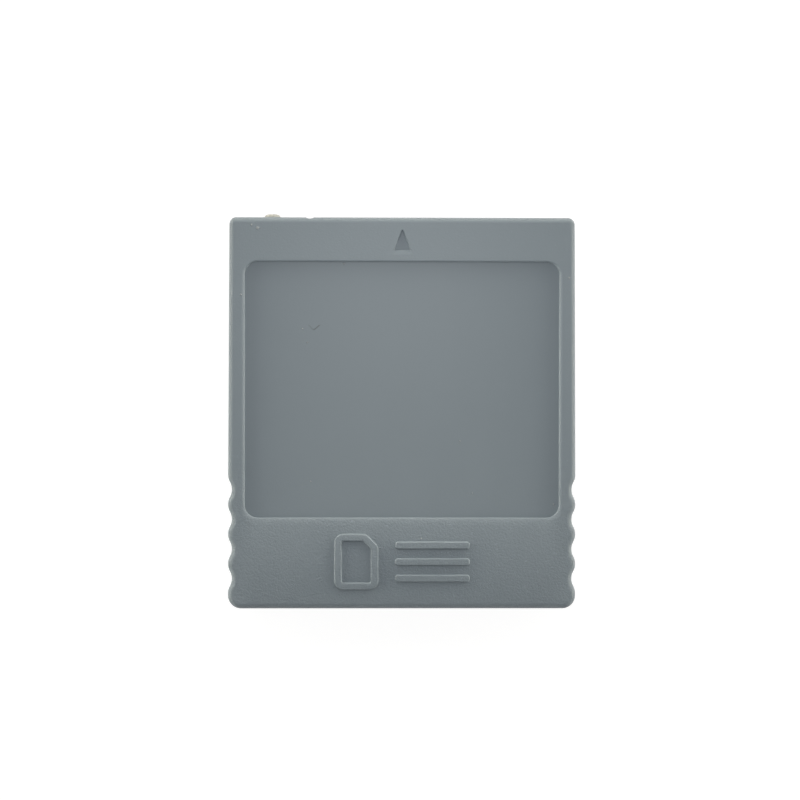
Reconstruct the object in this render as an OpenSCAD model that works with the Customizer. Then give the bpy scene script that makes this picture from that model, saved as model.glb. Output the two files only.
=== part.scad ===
// Memory card adapter: a flat moulded case that carries a flash card in its grip end and
// presents a row of contacts to a console in its other end. It lies on its back, with +Y
// towards the console, +Z out of the front face and the origin under its middle.

/* [Case] */
// Width across the grip
case_w = 40; // [38:0.5:46]
// Length from the grip end to the connector end
case_l = 45; // [44:0.5:60]
// How much narrower the connector end is than the grip
nose_taper = 0.26; // [0:0.02:0.6]
// Height of the rear half, up to the parting plane
rear_h = 4; // [3.6:0.1:4.4]
// Thickness of the rear wall
rear_t = 1.2; // [0.8:0.1:1.6]
// Thickness of the front wall under the label recess
panel_t = 1.1; // [0.8:0.1:1.8]
// Thickness of the side walls behind the finger grooves
side_t = 1.4; // [1.2:0.1:2]
// Thickness of the two end walls
end_t = 1.6; // [1.3:0.1:2]
// Radius of the rounded edges, front and back
edge_r = 0.65; // [0.3:0.05:0.75]
// Corner radius at the connector end
nose_r = 0.8; // [0.8:0.1:2]
// Corner radius at the grip end
grip_r = 1.5; // [1:0.1:2.5]
// Height of the lip that one half sets into the other
lap_h = 0.6; // [0.3:0.1:1]
// Thickness of that lip
lap_t = 0.6; // [0.4:0.1:0.8]
// Clearance around that lip
lap_clear = 0.1; // [0.05:0.01:0.15]

/* [Finger grooves] */
// Number of grooves on each side
groove_count = 4; // [2:1:6]
// Distance from one groove to the next
groove_pitch = 3.42; // [3:0.02:4]
// Depth of a groove
groove_depth = 0.43; // [0.2:0.01:0.5]
// Flat between the corner of the grip and its first wave
groove_land = 0.23; // [0.05:0.01:1]

/* [Label recess] */
// Width of the rim on each side of the recess
rim_w = 1.9; // [1.2:0.1:4]
// From the connector end to the recess
recess_margin = 5.1; // [4.4:0.1:8]
// Length of the recess
recess_l = 29.6; // [20:0.2:32]
// Depth of the recess
recess_depth = 0.5; // [0.3:0.05:0.7]
// Corner radius of the recess
recess_r = 1.5; // [0.5:0.1:4]
// Radius of the rounded lip around the recess
lip_r = 0.25; // [0.1:0.05:0.4]

/* [Marks on the front] */
// Width of the engraved arrow
arrow_w = 2.4; // [1.4:0.1:4]
// Length of the engraved arrow
arrow_l = 2.9; // [1.6:0.1:3]
// Depth of the engraved arrow at its base, from where its floor slopes up to the tip
arrow_depth = 0.45; // [0.2:0.05:0.6]
// How far the sloping wall at the arrow's base runs in
arrow_run = 0.4; // [0.1:0.05:0.6]
// From the connector end to the arrow's tip
arrow_margin = 1.4; // [1:0.1:1.8]
// Height of the raised card sign and bars
sign_h = 0.25; // [0.1:0.05:0.5]
// From the grip end to the middle of the sign
sign_y = 5.4; // [4.6:0.1:5.8]
// Width of the raised card sign
sign_w = 5; // [3:0.1:6]
// Length of the raised card sign
sign_l = 6.4; // [4:0.1:7]
// Line width of the raised card sign
sign_line = 0.8; // [0.5:0.1:1]
// Length of the raised bars
bar_l = 8.5; // [4:0.1:10]
// Width of one raised bar
bar_w = 0.8; // [0.5:0.1:1.2]
// Distance from one raised bar to the next
bar_pitch = 1.9; // [1.5:0.1:2.2]
// Number of raised bars
bar_count = 3; // [1:1:3]
// Gap between the sign and the bars
bar_gap = 2; // [1:0.1:3]
// Width of the moulding gate left on the connector end
gate_w = 1.8; // [1:0.1:2.4]
// How far the gate stands out
gate_l = 0.5; // [0.1:0.05:0.6]

/* [Flash card] */
// Width of the card that the socket takes
card_w = 24; // [22:0.5:24.5]
// Thickness of that card
card_t = 2.1; // [1.4:0.1:2.3]
// Clearance beside and above the card
card_clear = 0.1; // [0.05:0.01:0.2]
// Clearance of the slot in the case, each way
slot_clear = 0.25; // [0.15:0.05:0.4]
// Width of the bevel around the slot
slot_bevel = 0.5; // [0.2:0.1:0.8]

/* [Circuit board] */
// Thickness of the board
board_t = 1; // [0.8:0.1:1.2]
// Height of the ribs that the board lies on
board_lift = 1; // [0.8:0.1:1.4]
// Thickness of those ribs
rib_t = 1; // [0.6:0.1:1.6]
// Clearance between the edge of the board and the case
board_clear = 0.3; // [0.1:0.05:0.5]
// Length of the narrow tongue that the console grips
tongue_l = 8.5; // [7:0.1:9]
// How far the tongue stops inside the connector end
tongue_inset = 1; // [0.4:0.1:1.5]
// Height of the bevel on the tongue's edge
tongue_bevel = 0.3; // [0.1:0.05:0.35]
// Length of board between the socket and the tongue, for the small parts
parts_row = 6; // [5.4:0.1:9]
// Number of contact pads on the tongue
pad_count = 12; // [8:1:12]
// Distance from one contact pad to the next
pad_pitch = 2; // [1.8:0.1:2.2]
// Width of a contact pad
pad_w = 1.3; // [0.8:0.1:1.5]
// Length of a contact pad
pad_l = 6; // [4:0.1:6.4]
// Thickness of the plated pads
pad_t = 0.05; // [0.04:0.01:0.1]
// Bare board beside the outer pads
pad_edge = 1.1; // [0.6:0.1:1.5]

/* [Connector mouth] */
// Gap between the tongue and each side of the mouth
mouth_side = 0.85; // [0.5:0.05:1.2]
// Gap above the tongue, for the console's plug
mouth_gap = 3; // [2:0.1:3.1]
// Gap under the tongue
mouth_under = 0.2; // [0.1:0.05:0.3]
// Thickness of the guide walls beside the mouth
guide_t = 1.2; // [0.8:0.1:1.5]

/* [Card socket] */
// Thickness of the moulded base under the card
base_t = 0.5; // [0.4:0.05:0.7]
// Width of the rail on each side of the card
rail_w = 1.9; // [1.8:0.05:2.2]
// Thickness of the wall that stops the card
stop_t = 0.7; // [0.5:0.1:1]
// Thickness of the steel cover and of the side switches
sheet_t = 0.2; // [0.15:0.01:0.25]
// Gap between the steel cover and the front wall of the case
cover_gap = 0.3; // [0.1:0.05:0.6]
// Gap between the socket and the end wall of the case
socket_gap = 0.3; // [0.1:0.05:0.6]
// Width of a contact spring
spring_w = 1; // [0.7:0.05:1.1]
// Thickness of a contact spring
spring_t = 0.15; // [0.1:0.01:0.2]
// How far a contact spring stands up into the card's space
spring_rise = 0.45; // [0.2:0.05:0.6]
// Distance from one contact spring to the next
spring_pitch = 2.5; // [2.2:0.05:2.5]
// Running clearance around the springs, the pegs and the cover
fit_clear = 0.05; // [0.03:0.01:0.08]

/* [Pegs] */
// Outer diameter of the corner bosses
boss_d = 2.4; // [2.2:0.1:2.8]
// Diameter of the pegs that hold the halves together
peg_d = 1.3; // [1:0.05:1.4]
// Length of those pegs above the parting plane
peg_l = 1.6; // [1:0.1:1.8]
// From each end of the case to the middle of a boss
boss_inset = 6; // [5:0.1:7]
// Diameter of the posts that keep the board down
post_d = 1.6; // [1:0.1:2]

/* [Hidden] */
contact_names = [for (i = [1:9]) str("card_contact_", i)];
resistor_names = [for (i = [1:3]) str("resistor_", i)];

case_grey = "#778084";
board_green = "#2f5b3f";
gold = "#c9a24a";
socket_black = "#26272a";
steel = "#b9bcbe";
chip_black = "#1e1e20";
chip_tan = "#b08d5e";

// A cutter passes this far beyond what it cuts
over = 0.5;
// Two pieces of one moulding reach this far into each other
root = 0.3;
// Steps of each arc in the plan of the case
arc_steps = 4;
// Sides of a round peg, boss or hole
round_sides = 48;

// Heights, from the back of the case to its front
board_z = rear_t + board_lift;
board_top = board_z + board_t;
card_z = board_top + base_t;
cover_z = card_z + card_t + card_clear;
ceiling_z = cover_z + sheet_t + cover_gap;
recess_z = ceiling_z + panel_t;
case_h = recess_z + recess_depth;

// Plan of the case and of its cavity
nose_y = case_l / 2;
grip_y = -case_l / 2;
cavity_w = case_w - 2 * (side_t + groove_depth);
cavity_l = case_l - 2 * end_t;
cavity_r = 1;
boss_x = cavity_w / 2 - boss_d / 2 + root;
bosses = [for (x = [-1, 1], y = [-1, 1]) [x * boss_x, y * (case_l / 2 - boss_inset)]];

// A wave of the grip is two arcs of one radius that meet without a corner
quarter_wave = groove_pitch / 4;
wave_r = (pow(quarter_wave, 2) + pow(groove_depth / 2, 2)) / groove_depth;
wave_a = asin(quarter_wave / wave_r);
first_groove_y = grip_y + grip_r + groove_land + groove_pitch / 2;

// Label recess, and the marks around it
recess_w = case_w - 2 * rim_w;
recess_y = nose_y - recess_margin - recess_l / 2;
arrow_side_run = 0.3;
arrow_tip_run = 0.2;
arrow_tip_depth = 0.3;
marks_w = sign_w + bar_gap + bar_l;
sign_x = (sign_w - marks_w) / 2;
bar_x = (marks_w - bar_l) / 2;
sign_corner = 1.4;
gate_h = 1.2;
gate_inset = 4.9;

// Board, tongue and mouth
board_w = cavity_w - 2 * board_clear;
board_y = grip_y + end_t + board_clear;
tongue_y = nose_y - tongue_inset;
shoulder_y = tongue_y - tongue_l;
tongue_w = (pad_count - 1) * pad_pitch + pad_w + 2 * pad_edge;
pad_y = tongue_y - 2 * tongue_bevel - pad_l;
mouth_w = tongue_w + 2 * mouth_side;
mouth_z = board_z - mouth_under;
mouth_top = board_top + mouth_gap;
rib_x = 12;
cross_rib_inset = 2;
cross_rib_y = [shoulder_y + cross_rib_inset, tongue_y - cross_rib_inset - rib_t];
post_x = board_w / 2 - post_d;

// Card socket
channel_w = card_w + 2 * card_clear;
socket_w = channel_w + 2 * rail_w;
socket_y = grip_y + end_t + socket_gap;
socket_end_y = shoulder_y - parts_row;
stop_y = socket_end_y - stop_t;
cover_w = socket_w + 2 * (fit_clear + sheet_t);
flange_z = board_top + 2 * sheet_t;
foot_w = 2;
foot_l = 0.9;
feet_y = [socket_y + foot_w, stop_y - foot_w];
press_x = 7;
press_w = 2;
press_l = 6;
press_cut = 0.4;
locating_d = 1;
locating_l = 0.7;
locating_x = socket_w / 2 - rail_w / 2;
locating_front = 5.5;
locating_back = 3.4;
locating_y = [socket_y + locating_front, stop_y - locating_back];
base_window_l = 8;
base_window_w = 8;
base_bar = 1.5;

// A contact spring from the side: its tail lies on the board behind the stop
tail_l = 1.5;
crown_l = 4.6;
arm_l = 5.6;
spring_root = 0.6;
spring_tip = 0.15;
window_l = 6.2;
middle_contacts = 7;
first_contact_x = -7.1;
side_contact_x = 9.6;

// A side switch: a spring that the card pushes aside, and the terminal that it then meets
switch_h = 0.8;
switch_w = 0.8;
switch_lift = 0.7;
switch_inset = 1.1;
switch_push = 0.25;
switch_give = 0.45;
switch_foot = 1.9;
switch_straight = 1.2;
switch_crown = 3.6;
switch_l = 5.6;
switch_reach = 8.4;
detect_inset = 4.8;
protect_step = 4;
switch_z = card_z + switch_lift;
switch_x = channel_w / 2 + switch_inset;
detect_y = stop_y - detect_inset;
protect_y = detect_y - protect_step;

// Small parts soldered to the board, in one row behind the tongue
parts_inset = 2.1;
parts_y = shoulder_y - parts_inset;
chip_l = 1.6;
chip_w = 0.8;
resistor_h = 0.45;
capacitor_h = 0.8;
supply_l = 3.2;
supply_w = 1.6;
supply_h = 1.3;
chip_pitch = 4;
chip_end = 0.3;
chip_step = 0.03;

// Points of an arc about a centre, both ends included
function arc(cx, cy, r, from, to) = [
    for (i = [0:arc_steps])
        let (t = from + (to - from) * i / arc_steps)
        [cx + r * cos(t), cy + r * sin(t)]
];

// The same arc without its two ends
function inner_arc(cx, cy, r, from, to) =
    let (points = arc(cx, cy, r, from, to))
    [for (i = [1:arc_steps - 1]) points[i]];

// A rounded rectangle about the middle, anticlockwise
function rounded(w, l, r) = concat(
    arc(w / 2 - r, l / 2 - r, r, 0, 90),
    arc(r - w / 2, l / 2 - r, r, 90, 180),
    arc(r - w / 2, r - l / 2, r, 180, 270),
    arc(w / 2 - r, r - l / 2, r, 270, 360)
);

// One wave on the +X side of the grip: a hollow, then the crest above it
function wave(i, inset) =
    let (y = first_groove_y + i * groove_pitch)
    let (crest_end = i == groove_count - 1 ? 0 : wave_a)
    concat(
        inner_arc(case_w / 2 - groove_depth + wave_r, y, wave_r + inset, 180 + wave_a, 180 - wave_a),
        arc(case_w / 2 - wave_r, y + groove_pitch / 2, wave_r - inset, -wave_a, crest_end)
    );

// The +X side of the outline, from the grip end up, moved inwards by inset
function case_side(inset) = concat(
    arc(case_w / 2 - grip_r, grip_y + grip_r, grip_r - inset, -90, 0),
    arc(case_w / 2 - wave_r, first_groove_y - groove_pitch / 2, wave_r - inset, 0, wave_a),
    [for (i = [0:groove_count - 1]) each wave(i, inset)],
    arc((case_w - nose_taper) / 2 - nose_r, nose_y - nose_r, nose_r - inset, 0, 90)
);

// The whole outline: that side, then its mirror image back down
function case_outline(inset) =
    let (side = case_side(inset), n = len(side))
    concat(side, [for (i = [n - 1:-1:0]) [-side[i].x, side[i].y]]);

// The outline at each step of a rounded edge, from the wall, 0, to the flat face, 1
function edge_ring(step, face_z, direction) =
    let (a = 90 * step)
    at_height(case_outline(edge_r * (1 - cos(a))), face_z - direction * edge_r * (1 - sin(a)));

// The plan of the label recess, grown on all sides
function recess_plan(grow) = rounded(recess_w + 2 * grow, recess_l + 2 * grow, recess_r + grow);

// A ring of points lifted to a height
function at_height(ring, z) = [for (p = ring) [p.x, p.y, z]];

// The mean of a list of points
function middle(points) = [for (p = points) 1] * points / len(points);

// A strip of even thickness along a path, with mitred bends
function strip(path, t) =
    let (n = len(path))
    let (normals = [
        for (i = [0:n - 2])
            let (d = path[i + 1] - path[i])
            [-d.y, d.x] / norm(d)
    ])
    let (offsets = [
        for (i = [0:n - 1])
            let (a = normals[max(i - 1, 0)], b = normals[min(i, n - 2)])
            (a + b) / (1 + a * b) * t / 2
    ])
    concat(
        [for (i = [0:n - 1]) path[i] - offsets[i]],
        [for (i = [n - 1:-1:0]) path[i] + offsets[i]]
    );

// A closed solid through rings of equal length, each anticlockwise from where the last one lies
module loft(rings) {
    n = len(rings[0]);
    last = len(rings) - 1;
    hub = n * (last + 1);
    walls = [
        for (k = [0:last - 1], i = [0:n - 1])
            let (a = k * n + i, b = k * n + (i + 1) % n)
            each [[a, a + n, b + n], [a, b + n, b]]
    ];
    first_cap = [for (i = [0:n - 1]) [hub, i, (i + 1) % n]];
    last_cap = [for (i = [0:n - 1]) [hub + 1, last * n + (i + 1) % n, last * n + i]];
    polyhedron(
        concat([for (ring = rings) each ring], [middle(rings[0]), middle(rings[last])]),
        concat(walls, first_cap, last_cap)
    );
}

// A block between two corners
module block(from, to) {
    translate(from) cube(to - from);
}

// A round pin, boss or cutter between two heights
module pin(d, from_z, to_z) {
    translate([0, 0, from_z]) cylinder(h = to_z - from_z, d = d, $fn = round_sides);
}

// A shape drawn with Y across and Z up, carried along X
module along_x(from_x, to_x) {
    translate([from_x, 0, 0]) rotate([90, 0, 90]) linear_extrude(to_x - from_x) children();
}

// Its children as drawn on the +X side, 1, or mirrored to the -X side, -1
module on_side(side) {
    mirror([side < 0 ? 1 : 0, 0, 0]) children();
}

// The plan of the cavity, grown by a wall's thickness
module cavity_plan(grow) {
    polygon(rounded(cavity_w + 2 * grow, cavity_l + 2 * grow, cavity_r + grow));
}

module cavity() {
    translate([0, 0, rear_t]) linear_extrude(ceiling_z - rear_t) cavity_plan(0);
}

// The ring above the parting plane in which one half sets into the other
module lap_ring(clear) {
    translate([0, 0, rear_h]) linear_extrude(lap_h + clear) difference() {
        cavity_plan(lap_t + clear);
        cavity_plan(-clear);
    }
}

module mouth() {
    block([-mouth_w / 2, nose_y - end_t - over, mouth_z], [mouth_w / 2, nose_y + over, mouth_top]);
}

// The walls that lead the console's plug in, one on each side of the tongue
module guides(from_z, to_z) {
    for (side = [-1, 1]) on_side(side)
        block(
            [mouth_w / 2, shoulder_y + board_clear, from_z],
            [mouth_w / 2 + guide_t, nose_y - end_t + root, to_z]
        );
}

// A ring around the slot, at a distance outside the bevel's inner edge
function slot_ring(w, low, high, out) =
    let (x = w / 2 + out, y = grip_y + slot_bevel - out)
    [[-x, y, low - out], [x, y, low - out], [x, y, high + out], [-x, y, high + out]];

// The slot in the grip end, with its bevelled edge
module slot() {
    w = card_w + 2 * slot_clear;
    low = card_z - slot_clear / 2;
    high = cover_z + slot_clear / 2;
    block([-w / 2, grip_y - over, low], [w / 2, grip_y + end_t + over, high]);
    loft([for (out = [-slot_bevel, slot_bevel + over]) slot_ring(w, low, high, out)]);
}

// The label recess, with a lip that rounds out to the front face
module recess() {
    r = min(lip_r, recess_depth - 0.1);
    rings = [
        for (i = [0:arc_steps])
            let (a = 90 * i / arc_steps, z = case_h - r * (1 - sin(a)))
            at_height(recess_plan(r * (1 - cos(a))), z)
    ];
    translate([0, recess_y, 0])
        loft(concat(
            [at_height(recess_plan(0), recess_z)],
            rings,
            [at_height(recess_plan(r), case_h + sign_h + over)]
        ));
}

// The arrow that points to the console: its walls lean in to a floor that slopes up to the tip
module arrow() {
    tip_y = nose_y - arrow_margin;
    base_y = tip_y - arrow_l;
    outline = [[0, tip_y], [-arrow_w / 2, base_y], [arrow_w / 2, base_y]];
    runs = [[0, -arrow_tip_run], [arrow_side_run, arrow_run], [-arrow_side_run, arrow_run]];
    depths = [arrow_tip_depth, 1, 1] * arrow_depth;
    loft([
        for (k = [-1, 1])
            [for (i = [0:2]) [each outline[i] - k * runs[i], case_h + k * depths[i]]]
    ]);
}

// A raised sign of a card with a cut corner, and a row of bars beside it
module marks() {
    translate([0, grip_y + sign_y, case_h - root]) linear_extrude(root + sign_h) {
        translate([sign_x, 0]) difference() {
            card_shape(0);
            card_shape(sign_line);
        }
        for (i = [0:bar_count - 1])
            translate([bar_x, (i - (bar_count - 1) / 2) * bar_pitch])
                square([bar_l, bar_w], center = true);
    }
}

module card_shape(inset) {
    x = sign_w / 2 - inset;
    y = sign_l / 2 - inset;
    corner = sign_corner - inset * (2 - sqrt(2));
    polygon([[-x, -y], [x, -y], [x, y - corner], [x - corner, y], [-x, y]]);
}

// The stub that is left where the moulding was broken off its runner
module gate() {
    x = gate_inset - case_w / 2;
    z = rear_h + lap_h;
    block([x - gate_w / 2, nose_y - root, z], [x + gate_w / 2, nose_y + gate_l, z + gate_h]);
}

module front_shell() {
    color(case_grey) difference() {
        union() {
            difference() {
                loft(concat(
                    [at_height(case_outline(0), rear_h)],
                    [for (i = [0:arc_steps]) edge_ring(i / arc_steps, case_h, 1)]
                ));
                cavity();
            }
            for (p = bosses) translate(p) pin(boss_d, rear_h, ceiling_z + root);
            for (side = [-1, 1])
                translate([side * post_x, parts_y]) pin(post_d, board_top + fit_clear, ceiling_z + root);
            guides(rear_h, ceiling_z + root);
            marks();
            gate();
        }
        lap_ring(lap_clear);
        for (p = bosses) translate(p) pin(peg_d + 2 * fit_clear, rear_h - over, rear_h + peg_l + lap_clear);
        mouth();
        slot();
        recess();
        arrow();
    }
}

module rear_shell() {
    color(case_grey) difference() {
        union() {
            difference() {
                loft(concat(
                    [for (i = [arc_steps:-1:0]) edge_ring(i / arc_steps, 0, -1)],
                    [at_height(case_outline(0), rear_h)]
                ));
                cavity();
            }
            lap_ring(0);
            for (p = bosses) translate(p) corner_boss();
            guides(rear_t - root, rear_h);
            board_ribs();
        }
        mouth();
        slot();
    }
}

// A boss of the rear half, with the bevelled peg that the front half grips
module corner_boss() {
    bevel = 0.2;
    pin(boss_d, rear_t - root, rear_h);
    pin(peg_d, rear_h - root, rear_h + peg_l - bevel);
    translate([0, 0, rear_h + peg_l - bevel])
        cylinder(h = bevel, d1 = peg_d, d2 = peg_d - 2 * bevel, $fn = round_sides);
}

// Ribs on the rear wall: three along the board, and two across under the tongue
module board_ribs() {
    for (x = [-rib_x, 0, rib_x])
        block(
            [x - rib_t / 2, board_y + rib_t, rear_t - root],
            [x + rib_t / 2, shoulder_y - rib_t, board_z]
        );
    for (y = cross_rib_y)
        block([rib_t - tongue_w / 2, y, rear_t - root], [tongue_w / 2 - rib_t, y + rib_t, board_z]);
}

module circuit_board() {
    color(board_green) difference() {
        translate([0, 0, board_z]) linear_extrude(board_t) difference() {
            union() {
                translate([-board_w / 2, board_y]) square([board_w, shoulder_y - board_y]);
                translate([-tongue_w / 2, shoulder_y - root]) square([tongue_w, tongue_l + root]);
            }
            for (p = bosses) translate(p) circle(d = boss_d + 2 * board_clear, $fn = round_sides);
            for (x = [-locating_x, locating_x], y = locating_y)
                translate([x, y]) circle(d = locating_d + 2 * fit_clear, $fn = round_sides);
        }
        for (z = [board_z, board_top])
            along_x(-board_w / 2, board_w / 2) polygon([
                [tongue_y - tongue_bevel, z],
                [tongue_y, z + (z == board_z ? tongue_bevel : -tongue_bevel)],
                [tongue_y + over, z + (z == board_z ? tongue_bevel : -tongue_bevel)],
                [tongue_y + over, z + (z == board_z ? -over : over)],
                [tongue_y - tongue_bevel, z + (z == board_z ? -over : over)]
            ]);
    }
}

module edge_contacts() {
    color(gold) for (i = [0:pad_count - 1])
        translate([(i - (pad_count - 1) / 2) * pad_pitch, pad_y, board_top])
            translate([-pad_w / 2, 0]) cube([pad_w, pad_l, pad_t]);
}

// Where a contact spring stands across the card: seven in the middle, one on each side
function contact_x(i) =
    i <= middle_contacts ? first_contact_x + (i - 1) * spring_pitch
    : i == middle_contacts + 1 ? side_contact_x
    : -side_contact_x;

module card_contact(i) {
    tail_z = board_top + spring_t / 2;
    path = [
        [socket_end_y + tail_l, tail_z],
        [stop_y - spring_root, tail_z],
        [stop_y - crown_l, card_z + spring_rise - spring_t / 2],
        [stop_y - arm_l, card_z - spring_tip]
    ];
    color(gold) along_x(contact_x(i) - spring_w / 2, contact_x(i) + spring_w / 2)
        polygon(strip(path, spring_t));
}

// The window that a contact spring moves in, and the notch that its tail leaves by
module contact_window(i) {
    x = spring_w / 2 + fit_clear;
    translate([contact_x(i), 0, 0]) {
        block([-x, stop_y - window_l, board_top - over], [x, stop_y, card_z + over]);
        block(
            [-x, stop_y - over, board_top - over],
            [x, socket_end_y + over, board_top + spring_t + fit_clear]
        );
    }
}

// The room that a side switch needs in its rail
module switch_pocket(y) {
    tab = sheet_t / 2 + fit_clear;
    half = switch_w / 2 + fit_clear;
    end_y = y - switch_reach;
    block([channel_w / 2 - over, end_y - half, card_z], [switch_x + tab, y + half, cover_z + over]);
    for (foot_y = [y, end_y]) {
        block(
            [switch_x - tab, foot_y - half, board_top - over],
            [switch_x + tab, foot_y + half, card_z + over]
        );
        block(
            [switch_x - tab, foot_y - half, board_top - over],
            [socket_w / 2 + over, foot_y + half, board_top + sheet_t + fit_clear]
        );
    }
}

module socket_body() {
    color(socket_black) difference() {
        union() {
            block([-socket_w / 2, socket_y, board_top], [socket_w / 2, socket_end_y, card_z]);
            block([-socket_w / 2, stop_y, board_top], [socket_w / 2, socket_end_y, cover_z]);
            for (side = [-1, 1]) on_side(side)
                block([channel_w / 2, socket_y, board_top], [socket_w / 2, socket_end_y, cover_z]);
            for (x = [-locating_x, locating_x], y = locating_y)
                translate([x, y]) pin(locating_d, board_top - locating_l, board_top + root);
        }
        for (i = [1:9]) contact_window(i);
        on_side(1) switch_pocket(detect_y);
        on_side(-1) switch_pocket(protect_y);
        for (side = [-1, 1]) on_side(side)
            block(
                [base_bar, socket_y + base_bar * 2, board_top - over],
                [base_bar + base_window_w, socket_y + base_bar * 2 + base_window_l, card_z + over]
            );
        along_x(-channel_w / 2, channel_w / 2) polygon([
            [socket_y - over, card_z - base_t / 2],
            [socket_y, card_z - base_t / 2],
            [socket_y + base_t / 2, card_z],
            [socket_y + base_t / 2, card_z + over],
            [socket_y - over, card_z + over]
        ]);
    }
}

module socket_cover() {
    inner = socket_w / 2 + fit_clear;
    color(steel) difference() {
        union() {
            block([-cover_w / 2, socket_y, cover_z], [cover_w / 2, socket_end_y, cover_z + sheet_t]);
            for (side = [-1, 1]) on_side(side) {
                block([inner, socket_y, flange_z], [inner + sheet_t, socket_end_y, cover_z + sheet_t]);
                for (y = feet_y) {
                    block([inner, y, board_top], [inner + sheet_t, y + foot_w, cover_z]);
                    block([inner, y, board_top], [inner + sheet_t + foot_l, y + foot_w, board_top + sheet_t]);
                }
            }
        }
        for (x = [-press_x, 0, press_x]) translate([x, socket_y + press_l, cover_z - over]) press_slot();
    }
}

// The three-sided cut that frees a tongue of the cover, which keeps the card down
module press_slot() {
    out = press_w / 2 + press_cut;
    linear_extrude(2 * over) difference() {
        translate([-out, 0]) square([2 * out, press_l]);
        translate([-press_w / 2, press_cut]) square([press_w, press_l]);
    }
}

// The root of a switch's spring or terminal: a tab with a foot on the board
module switch_root(y) {
    from = [switch_x - sheet_t / 2, y - switch_w / 2, board_top];
    block(from, [switch_x + sheet_t / 2, y + switch_w / 2, switch_z + switch_h]);
    block(from, [switch_x + switch_foot, y + switch_w / 2, board_top + sheet_t]);
}

module switch_spring(y) {
    crown_x = card_w / 2 - switch_push + sheet_t / 2;
    path = [
        [switch_x, y],
        [switch_x, y - switch_straight],
        [crown_x, y - switch_crown],
        [switch_x - switch_give, y - switch_l]
    ];
    color(gold) {
        switch_root(y);
        translate([0, 0, switch_z]) linear_extrude(switch_h) polygon(strip(path, sheet_t));
    }
}

module switch_terminal(y) {
    end_y = y - switch_reach;
    color(gold) {
        switch_root(end_y);
        block(
            [switch_x - sheet_t / 2, end_y, switch_z],
            [switch_x + sheet_t / 2, y - switch_l + switch_w / 2, switch_z + switch_h]
        );
    }
}

// A small part with a metal end at each side, standing on the board at a place in the row
module chip(place, l, w, h, tint) {
    color(tint) translate([place * chip_pitch, parts_y, board_top]) {
        block([-l / 2, -w / 2, chip_step], [l / 2, w / 2, h]);
        for (side = [-1, 1]) on_side(side)
            block(
                [l / 2 - chip_end, -w / 2 - chip_step, 0],
                [l / 2 + chip_step, w / 2 + chip_step, h + chip_step]
            );
    }
}

// The row runs from the decoupling capacitor, over three resistors, to the supply capacitor
module resistor(i) {
    chip(i - 2, chip_l, chip_w, resistor_h, chip_black);
}

module decoupling_capacitor() {
    chip(-2, chip_l, chip_w, capacitor_h, chip_tan);
}

module supply_capacitor() {
    chip(2, supply_l, supply_w, supply_h, chip_tan);
}

front_shell();
rear_shell();
circuit_board();
edge_contacts();
socket_body();
socket_cover();
for (i = [1:9]) card_contact(i);
on_side(1) switch_spring(detect_y);  // detect_spring
on_side(1) switch_terminal(detect_y);  // detect_terminal
on_side(-1) switch_spring(protect_y);  // protect_spring
on_side(-1) switch_terminal(protect_y);  // protect_terminal
for (i = [1:3]) resistor(i);
decoupling_capacitor();
supply_capacitor();
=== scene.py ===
"""Looks of the memory card adapter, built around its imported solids.

Sizes are in millimetres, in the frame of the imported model: +Y towards the console, +Z out of the
front face. A mesh becomes metres when it is finished. Angles are in degrees.
"""

import logging
from collections.abc import Sequence
from dataclasses import dataclass
from enum import Enum

import bmesh
import bpy
import numpy as np
from mathutils import Matrix, Vector
from numpy.typing import NDArray


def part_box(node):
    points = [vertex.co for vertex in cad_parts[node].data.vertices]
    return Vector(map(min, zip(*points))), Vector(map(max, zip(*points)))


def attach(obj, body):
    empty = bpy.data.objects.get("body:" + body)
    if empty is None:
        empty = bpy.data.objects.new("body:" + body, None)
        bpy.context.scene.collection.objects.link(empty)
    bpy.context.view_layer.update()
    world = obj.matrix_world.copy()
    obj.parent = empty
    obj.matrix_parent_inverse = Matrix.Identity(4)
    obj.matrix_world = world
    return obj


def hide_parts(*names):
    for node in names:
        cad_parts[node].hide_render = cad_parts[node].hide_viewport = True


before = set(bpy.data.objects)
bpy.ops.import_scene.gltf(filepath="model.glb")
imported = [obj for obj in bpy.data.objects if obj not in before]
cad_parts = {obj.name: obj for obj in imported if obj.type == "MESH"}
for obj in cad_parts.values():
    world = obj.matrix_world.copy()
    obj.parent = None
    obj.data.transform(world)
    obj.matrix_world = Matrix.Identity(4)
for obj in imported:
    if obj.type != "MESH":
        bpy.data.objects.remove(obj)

Array = NDArray[np.float64]
Socket = bpy.types.NodeSocket
Piece = bpy.types.Object
Colour = tuple[float, float, float]
Points = Sequence[Sequence[float]]

LOG = logging.getLogger("adapter")
MM = 0.001
BODY = "root"

# How far a cutter passes beyond what it cuts, and how deep one solid is rooted in another
OVER = 0.5
ROOT = 0.3

# The board's two faces, which the case, the socket's parts and the chips are built to
BOARD_LOW = 2.2
BOARD_TOP = 3.2

# An edge that bends more than this stays sharp
SHARP = 35


class Join(Enum):
    """What a set of tools does to a solid."""

    ADD = "UNION"
    CUT = "DIFFERENCE"


class Lay(Enum):
    """For each of x, y and z, what it is taken from: 0 and 1 are a plan's directions, 2 its depth."""

    FLAT = (0, 1, 2)
    UPRIGHT = (0, 2, 1)
    EDGEWISE = (2, 0, 1)


@dataclass
class Surface:
    """A mesh in millimetres: its points, and its faces as rows of point numbers."""

    points: Array
    faces: list[list[int]]


@dataclass(frozen=True)
class Plan:
    """A closed outline, anticlockwise, with the outward direction at each of its points.

    At a sharp corner the direction is the mitre, longer than 1, so that an inset keeps its distance.
    """

    points: Array
    normals: Array


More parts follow.
